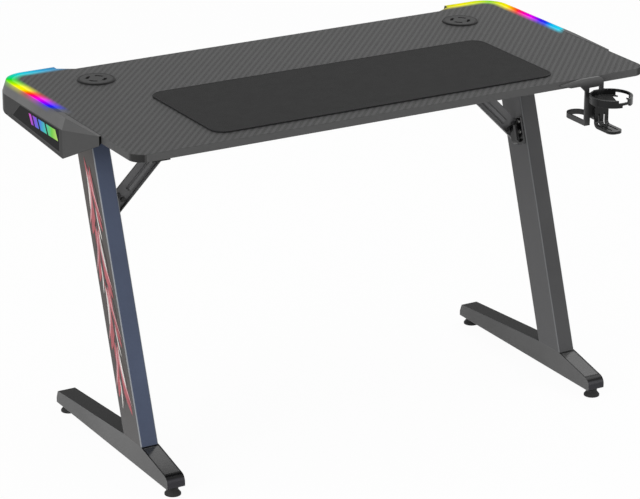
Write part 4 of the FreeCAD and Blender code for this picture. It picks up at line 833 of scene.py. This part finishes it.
def leg_paint(name, look, colour, side_colour, corner_highlight_share):
    """Return a leg's finish: one coat in front, another on its sides, and a painted highlight on the corners
    between them.
    """
    material, shader, tone = powder_coat(name, colour, look.edge, painted_edging=0.5)
    turn_x, turn_y, _ = facing(shader)
    _, _, z = along(shader, place(shader))
    over_foot = stretch(shader, z, none_at=0.09, full_at=0.2, none=0.4, full=1.0)
    side = blend_colours(shader, over_foot, look.paint, side_colour)
    aside = calculate(shader, "ABSOLUTE", turn_x)
    tone = blend_colours(shader, stretch(shader, aside, none_at=0.8, full_at=0.97), tone, side)
    off_front = stretch(shader, aside, none_at=0.3, full_at=0.5)
    off_side = stretch(shader, aside, none_at=0.98, full_at=0.85)
    ahead = stretch(shader, turn_y, none_at=-0.1, full_at=-0.2)
    # Painted highlight along the corners between the front and the sides.
    corner_highlight = calculate(shader, "MULTIPLY", off_front, off_side, ahead, corner_highlight_share)
    feed(blend_colours(shader, corner_highlight, tone, look.edge), shader.inputs["Base Color"])
    return material


def beam_paint(look):
    """Return the foot beams' coat: painted shade on the level top, dark on the nose and painted shade in
    black round the toe.
    """
    nose_edge = 0.0006
    material, shader, tone = powder_coat("beam_paint", look.beam, look.edge, painted_edging=0.5)
    toe_low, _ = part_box("left_toe_plate")
    turn_x, turn_y, turn_z = facing(shader)
    # Painted shade on the beams' level top faces.
    upward = stretch(shader, turn_z, none_at=0.7, full_at=0.95)
    level = stretch(shader, turn_y, none_at=-0.05, full_at=0.02)
    shaded = calculate(shader, "MULTIPLY", upward, level)
    tone = blend_colours(shader, shaded, tone, look.beam_top_shade)
    _, y, _ = along(shader, place(shader))
    ahead = stretch(shader, y, toe_low.y, toe_low.y - nose_edge)
    off_side = stretch(shader, calculate(shader, "ABSOLUTE", turn_x), none_at=0.6, full_at=0.4)
    nose = calculate(shader, "MULTIPLY", ahead, off_side)
    # Painted shade: the sloped faces round the toe plate are painted black.
    rising = stretch(shader, turn_z, none_at=0.5, full_at=0.7)
    leaning = stretch(shader, turn_y, none_at=-0.1, full_at=-0.15)
    slope = calculate(shader, "MULTIPLY", rising, leaning)
    tone = blend_colours(shader, nose, tone, look.nose)
    feed(blend_colours(shader, slope, tone, look.black), shader.inputs["Base Color"])
    duller = stretch(shader, shaded, none_at=0.0, full_at=1.0, none=0.45, full=0.68)
    smoother = calculate(shader, "MULTIPLY", calculate(shader, "MAXIMUM", nose, slope), NOSE_POLISH)
    feed(calculate(shader, "SUBTRACT", duller, smoother), shader.inputs["Roughness"])
    return material


def zinc_plate():
    """Return zinc-plated steel for nuts, studs and screws."""
    material, shader = finish("zinc_plate", BRIGHT_ZINC, roughness=0.35)
    feed(1.0, shader.inputs["Metallic"])
    cloud = speckle(shader, scale=300.0)
    feed(clouded(shader, cloud, DULL_ZINC, BRIGHT_ZINC), shader.inputs["Base Color"])
    vary_roughness(shader, cloud, low=0.28, high=0.45)
    return material


# Cloth, thread and print

# Share of the weave in the cloth's tone, beside its lint.
WEAVE_TONE = 0.7


def mat_cloth(look):
    """Return the mat's top cloth: a fine plain weave."""
    material, shader = finish("mat_cloth", look.cloth, roughness=0.9, gloss=0.1)
    x, y, _ = along(shader, place(shader))
    warp = ridges(shader, x, look.weave_pitch)
    weft = ridges(shader, y, look.weave_pitch)
    weave = calculate(shader, "MULTIPLY", warp, weft)
    lint = stretch(shader, speckle(shader, scale=40.0), none_at=0.3, full_at=0.7, none=0.0, full=0.3)
    tone = calculate(shader, "ADD", calculate(shader, "MULTIPLY", weave, WEAVE_TONE), lint)
    darker = shade(look.cloth, factor=0.82)
    brighter = shade(look.cloth, factor=1.12)
    feed(blend_colours(shader, tone, darker, brighter), shader.inputs["Base Color"])
    vary_roughness(shader, weave, low=0.95, high=0.82)
    raise_relief(shader, weave, depth=0.0001)
    return material


def sewn_thread(look):
    """Return the spun thread round the mat's edge."""
    material, shader = finish("sewn_thread", look.thread, roughness=0.7, gloss=0.2)
    walk = calculate(shader, "ADD", *along(shader, place(shader)))
    spin = ridges(shader, walk, pitch=0.0009)
    darker = shade(look.thread, factor=0.7)
    brighter = shade(look.thread, factor=1.4)
    feed(blend_colours(shader, spin, darker, brighter), shader.inputs["Base Color"])
    vary_roughness(shader, spin, low=0.75, high=0.6)
    raise_relief(shader, spin, depth=0.0001)
    return material


def printed_ink(name, colour):
    """Return printed film with a faint fade and fine print dots."""
    material, shader = finish(name, colour, roughness=0.4)
    fade = stretch(shader, speckle(shader, scale=14.0), none_at=0.35, full_at=0.7)
    dots = speckle(shader, scale=1200.0, detail=1.0)
    feed(blend_colours(shader, fade, colour, shade(colour, factor=0.7)), shader.inputs["Base Color"])
    vary_roughness(shader, dots, low=0.34, high=0.46)
    return material


# Mesh helpers


def make_piece(name, bm, materials, body):
    """Turn a bmesh into a piece with materials that rides on a body and takes its finish from a slot."""
    mesh = bpy.data.meshes.new(name)
    bm.to_mesh(mesh)
    bm.free()
    for material in materials:
        mesh.materials.append(material)
    piece = bpy.data.objects.new(name, mesh)
    bpy.context.scene.collection.objects.link(piece)
    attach(piece, body)
    return piece


def rounded_loop(low, high, radius, steps, inset):
    """Return the corner points of a level rounded rectangle, drawn in by an inset."""
    reach = radius - inset
    centres = (
        (high.x - radius, high.y - radius),
        (low.x + radius, high.y - radius),
        (low.x + radius, low.y + radius),
        (high.x - radius, low.y + radius),
    )
    points = []
    for quarter, (x, y) in enumerate(centres):
        for step in range(steps + 1):
            turn = math.pi / 2 * (quarter + step / steps)
            points.append((x + reach * math.cos(turn), y + reach * math.sin(turn)))
    return points


# Operators


class DESK_OT_board(bpy.types.Operator):
    """Finish the board and the side wings"""

    bl_idname = "desk.board"
    bl_label = "Board and wings"

    def execute(self, context):
        look = context.scene.desk_board
        dress(striped_laminate(look), "tabletop")
        dress(wing_plastic(look), *on_both_sides("side_panel"))
        return {"FINISHED"}


class DESK_OT_lights(bpy.types.Operator):
    """Finish the light bars, the strips under them and the lit motif"""

    bl_idname = "desk.lights"
    bl_label = "Lights"

    def execute(self, context):
        look = context.scene.desk_lights
        dress(light_bar(look.bar_strength), *on_both_sides("light_diffuser"))
        motif_low, motif_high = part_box("left_badge_lens")
        dress(lit_motif(look.motif_strength, motif_low.y, motif_high.y), *on_both_sides("badge_lens"))
        dress(circuit_tape(), *on_both_sides("led_strip", "badge_board"))
        return {"FINISHED"}


class DESK_OT_mat(bpy.types.Operator):
    """Make the cloth mat with its sewn edge"""

    bl_idname = "desk.mat"
    bl_label = "Desk mat"

    # Rings of the mat's edge, from its underside to its top: how far each is drawn in, as a share of the
    # hem, and its height as a share of the mat's thickness.
    rings = ((0.30, 0.0), (0.12, 0.25), (0.12, 0.65), (0.45, 0.88), (1.10, 0.80), (1.80, 0.92))

    # Points along one stitch, from the mat's side up on to its top: how far along its slant, the height over
    # the mat's middle as a share of half its thickness, the way in from the edge as a share of the hem, and
    # the width as a share of the greatest.
    stitch_path = (
        (0.0, -0.50, 1 / 12, 0.4),
        (0.0, 0.35, 1 / 36, 1.0),
        (0.5, 0.98, 0.35, 1.0),
        (1.0, 0.92, 0.80, 0.9),
        (1.2, 0.55, 1.05, 0.4),
    )

    # A stitch's half width and slant as shares of the pitch, and its points across as shares of that half.
    stitch_half = 0.55
    stitch_slant = 0.5
    stitch_strands = (-1.0, -0.5, 0.5, 1.0)

    # Points nearer than this lie on one another.
    same_place = 1e-6

    def execute(self, context):
        look = context.scene.desk_mat
        low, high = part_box("mouse_mat")
        cloth = self.make_cloth(look, low, high)
        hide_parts("mouse_mat")
        stitches = self.make_stitches(look, low, high)
        return {"FINISHED"}

    def make_cloth(self, look, low, high):
        """Return the mat: a flat closed sheet whose edge is drawn in under the thread."""
        bm = bmesh.new()
        loops = []
        for inset, rise in self.rings:
            spots = rounded_loop(low, high, look.corner_radius, look.corner_steps, look.hem * inset)
            height = low.z + (high.z - low.z) * rise
            loops.append([bm.verts.new((x, y, height)) for x, y in spots])
        count = len(loops[0])
        for lower, upper in zip(loops, loops[1:]):
            for step in range(count):
                after = (step + 1) % count
                side = bm.faces.new((lower[step], lower[after], upper[after], upper[step]))
                side.smooth = True
        bm.faces.new(list(reversed(loops[0])))
        bm.faces.new(loops[-1])
        return make_piece("mat_sheet", bm, [mat_cloth(look)], "desk_mat")

    def make_stitches(self, look, low, high):
        """Return the slanted stitches that wrap the mat's edge all the way round."""
        loop = rounded_loop(low, high, look.corner_radius, look.corner_steps, 0)
        spots = [Vector((x, y, 0)) for x, y in loop]
        bm = bmesh.new()
        spare = 0.0
        middle = (low.z + high.z) / 2
        for start, end in zip(spots, spots[1:] + spots[:1]):
            run = end - start
            if run.length < self.same_place:
                continue
            forward = run.normalized()
            while spare < run.length:
                foot = start + forward * spare + UP * middle
                self.add_stitch(bm, look, foot, forward, high.z - middle)
                spare += look.stitch_pitch
            spare -= run.length
        return make_piece("mat_stitches", bm, [sewn_thread(look)], "desk_mat")

    def add_stitch(self, bm, look, foot, forward, rise):
        """Add one stitch: a flattened bead over the edge, from the side up on to the top."""
        inward = UP.cross(forward)
        half = forward * look.stitch_pitch * self.stitch_half
        slant = forward * look.stitch_pitch * self.stitch_slant
        rows = []
        for gone, height, inset, width in self.stitch_path:
            spot = foot + slant * gone + UP * rise * height + inward * look.hem * inset
            rows.append([bm.verts.new(spot + half * width * strand) for strand in self.stitch_strands])
        for lower, upper in zip(rows, rows[1:]):
            for a, b, c, d in zip(lower, lower[1:], upper[1:], upper):
                bm.faces.new((a, b, c, d)).smooth = True


class DESK_OT_frame(bpy.types.Operator):
    """Finish the legs, rails, braces and foot beams"""

    bl_idname = "desk.steel"
    bl_label = "Steel frame"

    def execute(self, context):
        look = context.scene.desk_frame
        paint, _, _ = powder_coat("frame_paint", look.paint, look.edge, painted_edging=0.55)
        dress(paint, "front_cross_rail", "rear_cross_rail", *on_both_sides("top_rail"))
        # The braces' coat is painted light; their edges and pressed grooves are darkened towards black as
        # painted shade.
        brace, _, _ = powder_coat("brace_paint", look.brace, look.black, painted_edging=0.75, edge_width=0.0026)
        dress(brace, *on_both_sides("brace"))
        left_paint = leg_paint("left_leg_paint", look, look.left_leg, look.left_leg_side, look.left_corner_highlight)
        dress(left_paint, "left_leg")
        # The right leg's front is painted shade: the frame's paint made darker.
        right_paint = leg_paint("right_leg_paint", look, look.right_leg, look.paint, look.right_corner_highlight)
        dress(right_paint, "right_leg")
        dress(beam_paint(look), *on_both_sides("foot_beam", "heel_cap"))
        toe, _, _ = grained_plastic(
            "toe_plastic", look.toe, roughness=0.16, grain=900.0, depth=0.00002, painted_edging=0.4, gloss=1.0)
        dress(toe, *on_both_sides("toe_plate"))
        return {"FINISHED"}


class DESK_OT_print(bpy.types.Operator):
    """Print the streaks on the outside of the left leg"""

    bl_idname = "desk.print"
    bl_label = "Leg print"

    inks = ("red", "pink", "dark", "white")

    # One group of streaks. Each has its foot and head as shares of the leg's depth and height, its greatest
    # width as a share of the depth, its bow and its ink.
    streak_group = (
        ((0.42, 0.06), (0.56, 0.22), 0.55, 0.05, "dark"),
        ((0.20, 0.00), (0.64, 0.23), 0.24, 0.10, "red"),
        ((0.84, 0.03), (0.40, 0.25), 0.20, -0.08, "red"),
        ((0.14, 0.03), (0.50, 0.20), 0.07, 0.10, "pink"),
        ((0.90, 0.06), (0.52, 0.22), 0.06, -0.06, "pink"),
        ((0.52, 0.02), (0.50, 0.15), 0.14, 0.06, "dark"),
        ((0.30, 0.08), (0.42, 0.21), 0.08, 0.04, "white"),
        ((0.72, 0.00), (0.62, 0.10), 0.06, -0.03, "white"),
    )

    # Straight runs in a streak, powers that place its belly and fill its ends, and how much higher than the
    # last streak it lies, as a share of the film.
    streak_runs = 18
    streak_belly = 0.75
    streak_fullness = 0.8
    streak_lift = 0.1

    def execute(self, context):
        look = context.scene.desk_print
        bm = bmesh.new()
        proud = look.film
        for group in range(look.groups):
            start = look.start + group * look.step
            turned_round = group % 2 == 1
            for foot, head, width, bow, ink in self.streak_group:
                ends = [self.place_end(spot, start, turned_round) for spot in (foot, head)]
                bend = -bow if turned_round else bow
                self.add_streak(bm, look, *ends, width, bend, proud, self.inks.index(ink))
                proud += look.film * self.streak_lift
        materials = [printed_ink(ink + "_ink", getattr(look, ink)) for ink in self.inks]
        make_piece("leg_print", bm, materials, "desk_frame")
        return {"FINISHED"}

    def place_end(self, spot, start, turned_round):
        """Return one end of a streak moved up to its group, and turned front to back in every other group."""
        depth, rise = spot
        return (1 - depth if turned_round else depth, start + rise)

    def add_streak(self, bm, look, foot, head, width, bow, proud, ink):
        """Add one tapered streak on the leg's outer face, standing proud by a film's thickness."""
        low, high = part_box("left_leg")
        lean = (high.y - low.y - look.leg_depth) / (high.z - low.z)
        front_row = []
        rear_row = []
        for step in range(self.streak_runs + 1):
            share = step / self.streak_runs
            depth = foot[0] + (head[0] - foot[0]) * share + bow * math.sin(math.pi * share)
            rise = foot[1] + (head[1] - foot[1]) * share
            half = width / 2 * math.sin(math.pi * share ** self.streak_belly) ** self.streak_fullness
            z = low.z + (high.z - low.z) * rise
            front = low.y + (z - low.z) * lean
            for row, sign in ((front_row, -1), (rear_row, 1)):
                y = front + look.leg_depth * (depth + sign * half)
                row.append(bm.verts.new((low.x - proud, y, z)))
        for step in range(self.streak_runs):
            corners = (front_row[step], front_row[step + 1], rear_row[step + 1], rear_row[step])
            bm.faces.new(corners).material_index = ink


class DESK_OT_fittings(bpy.types.Operator):
    """Finish the cup holder, hook, grommets, caps, feet and fasteners"""

    bl_idname = "desk.fittings"
    bl_label = "Fittings"

    def execute(self, context):
        look = context.scene.desk_frame
        black, _, _ = grained_plastic("black_plastic", look.black, **GLOSSY_BLACK)
        dress(black, "headphone_hook", "top_rail_caps")
        dress(cradle_plastic(look), "cup_cradle")
        dress(bracket_plastic(look), "cup_holder_bracket")
        bush, _, _ = grained_plastic("bush_plastic", look.grommet_bush, **DULL_MOULDING)
        dress(bush, *on_both_sides("grommet_bush"))
        cap, _, _ = grained_plastic("cap_plastic", look.grommet_cap, **DULL_MOULDING)
        dress(cap, *on_both_sides("grommet_cap"))
        rubber, _, _ = grained_plastic(
            "foot_rubber", look.rubber, roughness=0.7, grain=700.0, depth=0.00012, painted_edging=0.3)
        dress(rubber, *on_both_sides("front_foot_pad", "rear_foot_pad"))
        zinc = zinc_plate()
        dress(zinc, "foot_nuts", "rail_bolts", "board_screws", "panel_screws", "cup_screws", "hook_screws")
        dress(zinc, *on_both_sides("front_foot_stud", "rear_foot_stud"))
        bolts, _, _ = powder_coat("black_bolts", look.bolt, look.bolt_edge, painted_edging=0.7)
        dress(bolts, "brace_bolts")
        return {"FINISHED"}


class DESK_OT_stage(bpy.types.Operator):
    """Set the floor, the studio light and the camera"""

    bl_idname = "desk.stage"
    bl_label = "Stage"

    # Each lamp's name, its place, the point that it aims at, its width in metres and its power in watts.
    lamps = (
        ("key_light", (-4.6, -1.4, 2.2), (0.0, 0.0, 0.4), 2.6, 150.0),
        ("fill_light", (2.6, -4.0, 1.4), (0.0, 0.0, 0.4), 2.4, 36.0),
        ("top_light", (2.4, 0.4, 3.6), (0.3, 0.1, 0.5), 2.6, 46.0),
    )

    # Half the floor's width and the furthest that the camera sees, in metres, and the sensor in millimetres.
    floor_reach = 14.0
    camera_reach = 100.0
    sensor_width = 36.0

    def execute(self, context):
        look = context.scene.desk_stage
        context.scene.view_settings.view_transform = "Standard"
        self.make_world(context, look)
        self.make_floor(context, look)
        for lamp in self.lamps:
            self.make_lamp(context, *lamp)
        self.make_camera(context, look)
        return {"FINISHED"}

    def make_world(self, context, look):
        """Make a grey surround that looks white to the camera and in gloss."""
        world = bpy.data.worlds.new("studio")
        world.use_nodes = True
        background = world.node_tree.nodes["Background"]
        feed(WHITE, background.inputs["Color"])
        strength = stretch(background, seen_rays(background), 0.0, 1.0, none=look.surround, full=1.0)
        feed(strength, background.inputs["Strength"])
        context.scene.world = world

    def make_floor(self, context, look):
        """Make the pale floor, which stays near white and keeps a soft shadow."""
        reach = self.floor_reach
        corners = ((-reach, -reach), (reach, -reach), (reach, reach), (-reach, reach))
        bm = bmesh.new()
        bm.faces.new([bm.verts.new((x, y, 0)) for x, y in corners])
        mesh = bpy.data.meshes.new("floor")
        bm.to_mesh(mesh)
        bm.free()
        material, shader = finish("studio_floor", look.floor, roughness=0.9)
        glow = add(shader, "ShaderNodeEmission")
        feed(WHITE, glow.inputs["Color"])
        mix = add(shader, "ShaderNodeMixShader")
        feed(calculate(shader, "MULTIPLY", seen_rays(shader), look.floor_glow), mix.inputs[0])
        feed(shader.outputs[0], mix.inputs[1])
        feed(glow.outputs[0], mix.inputs[2])
        feed(mix.outputs[0], material.node_tree.nodes["Material Output"].inputs["Surface"])
        mesh.materials.append(material)
        floor = bpy.data.objects.new("floor", mesh)
        context.scene.collection.objects.link(floor)

    def make_lamp(self, context, name, spot, aim, size, power):
        """Make one square soft lamp that points at a place."""
        data = bpy.data.lights.new(name, "AREA")
        data.size = size
        data.energy = power
        lamp = bpy.data.objects.new(name, data)
        lamp.location = spot
        lamp.rotation_euler = (Vector(aim) - Vector(spot)).to_track_quat("-Z", "Y").to_euler()
        context.scene.collection.objects.link(lamp)

    def make_camera(self, context, look):
        """Make the camera at the photograph's angle."""
        data = bpy.data.cameras.new("camera")
        data.lens = look.lens
        data.sensor_width = self.sensor_width
        data.sensor_fit = "HORIZONTAL"
        data.clip_end = self.camera_reach
        camera = bpy.data.objects.new("camera", data)
        flat = math.cos(look.elevation)
        aside = math.sin(look.azimuth) * flat
        ahead = math.cos(look.azimuth) * flat
        back = Vector((aside, -ahead, math.sin(look.elevation)))
        right = UP.cross(back).normalized()
        turn = Matrix((right, back.cross(right), back)).transposed() @ Matrix.Rotation(look.roll, 3, "Z")
        spot = Vector(look.target) + back * look.distance
        camera.matrix_world = Matrix.Translation(spot) @ turn.to_4x4()
        context.scene.collection.objects.link(camera)
        context.scene.camera = camera


# Panel and registration

OPERATORS = (
    DESK_OT_board,
    DESK_OT_lights,
    DESK_OT_mat,
    DESK_OT_frame,
    DESK_OT_print,
    DESK_OT_fittings,
    DESK_OT_stage,
)
SETTINGS = {
    "desk_board": DeskBoardSettings,
    "desk_lights": DeskLightSettings,
    "desk_mat": DeskMatSettings,
    "desk_frame": DeskFrameSettings,
    "desk_print": DeskPrintSettings,
    "desk_stage": DeskStageSettings,
}


class DESK_PT_looks(bpy.types.Panel):
    """Lists the desk's settings and the steps that dress it"""

    bl_idname = "DESK_PT_looks"
    bl_label = "Gaming desk"
    bl_space_type = "VIEW_3D"
    bl_region_type = "UI"
    bl_category = "Desk"

    def draw(self, context):
        for operator in OPERATORS:
            self.layout.operator(operator.bl_idname)
        for key, group in SETTINGS.items():
            box = self.layout.box()
            box.label(text=group.__doc__)
            for name in group.__annotations__:
                box.prop(getattr(context.scene, key), name)


def register():
    """Register the settings, the operators and the panel."""
    for key, group in SETTINGS.items():
        bpy.utils.register_class(group)
        setattr(bpy.types.Scene, key, PointerProperty(type=group))
    for operator in OPERATORS:
        bpy.utils.register_class(operator)
    bpy.utils.register_class(DESK_PT_looks)


def unregister():
    """Take the panel, the operators and the settings away again."""
    bpy.utils.unregister_class(DESK_PT_looks)
    for operator in reversed(OPERATORS):
        bpy.utils.unregister_class(operator)
    for key, group in reversed(SETTINGS.items()):
        delattr(bpy.types.Scene, key)
        bpy.utils.unregister_class(group)


def main():
    """Dress the desk and set the stage."""
    register()
    bpy.ops.desk.board()
    bpy.ops.desk.lights()
    bpy.ops.desk.mat()
    bpy.ops.desk.steel()
    bpy.ops.desk.print()
    bpy.ops.desk.fittings()
    bpy.ops.desk.stage()
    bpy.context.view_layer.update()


if __name__ == "__main__":
    main()
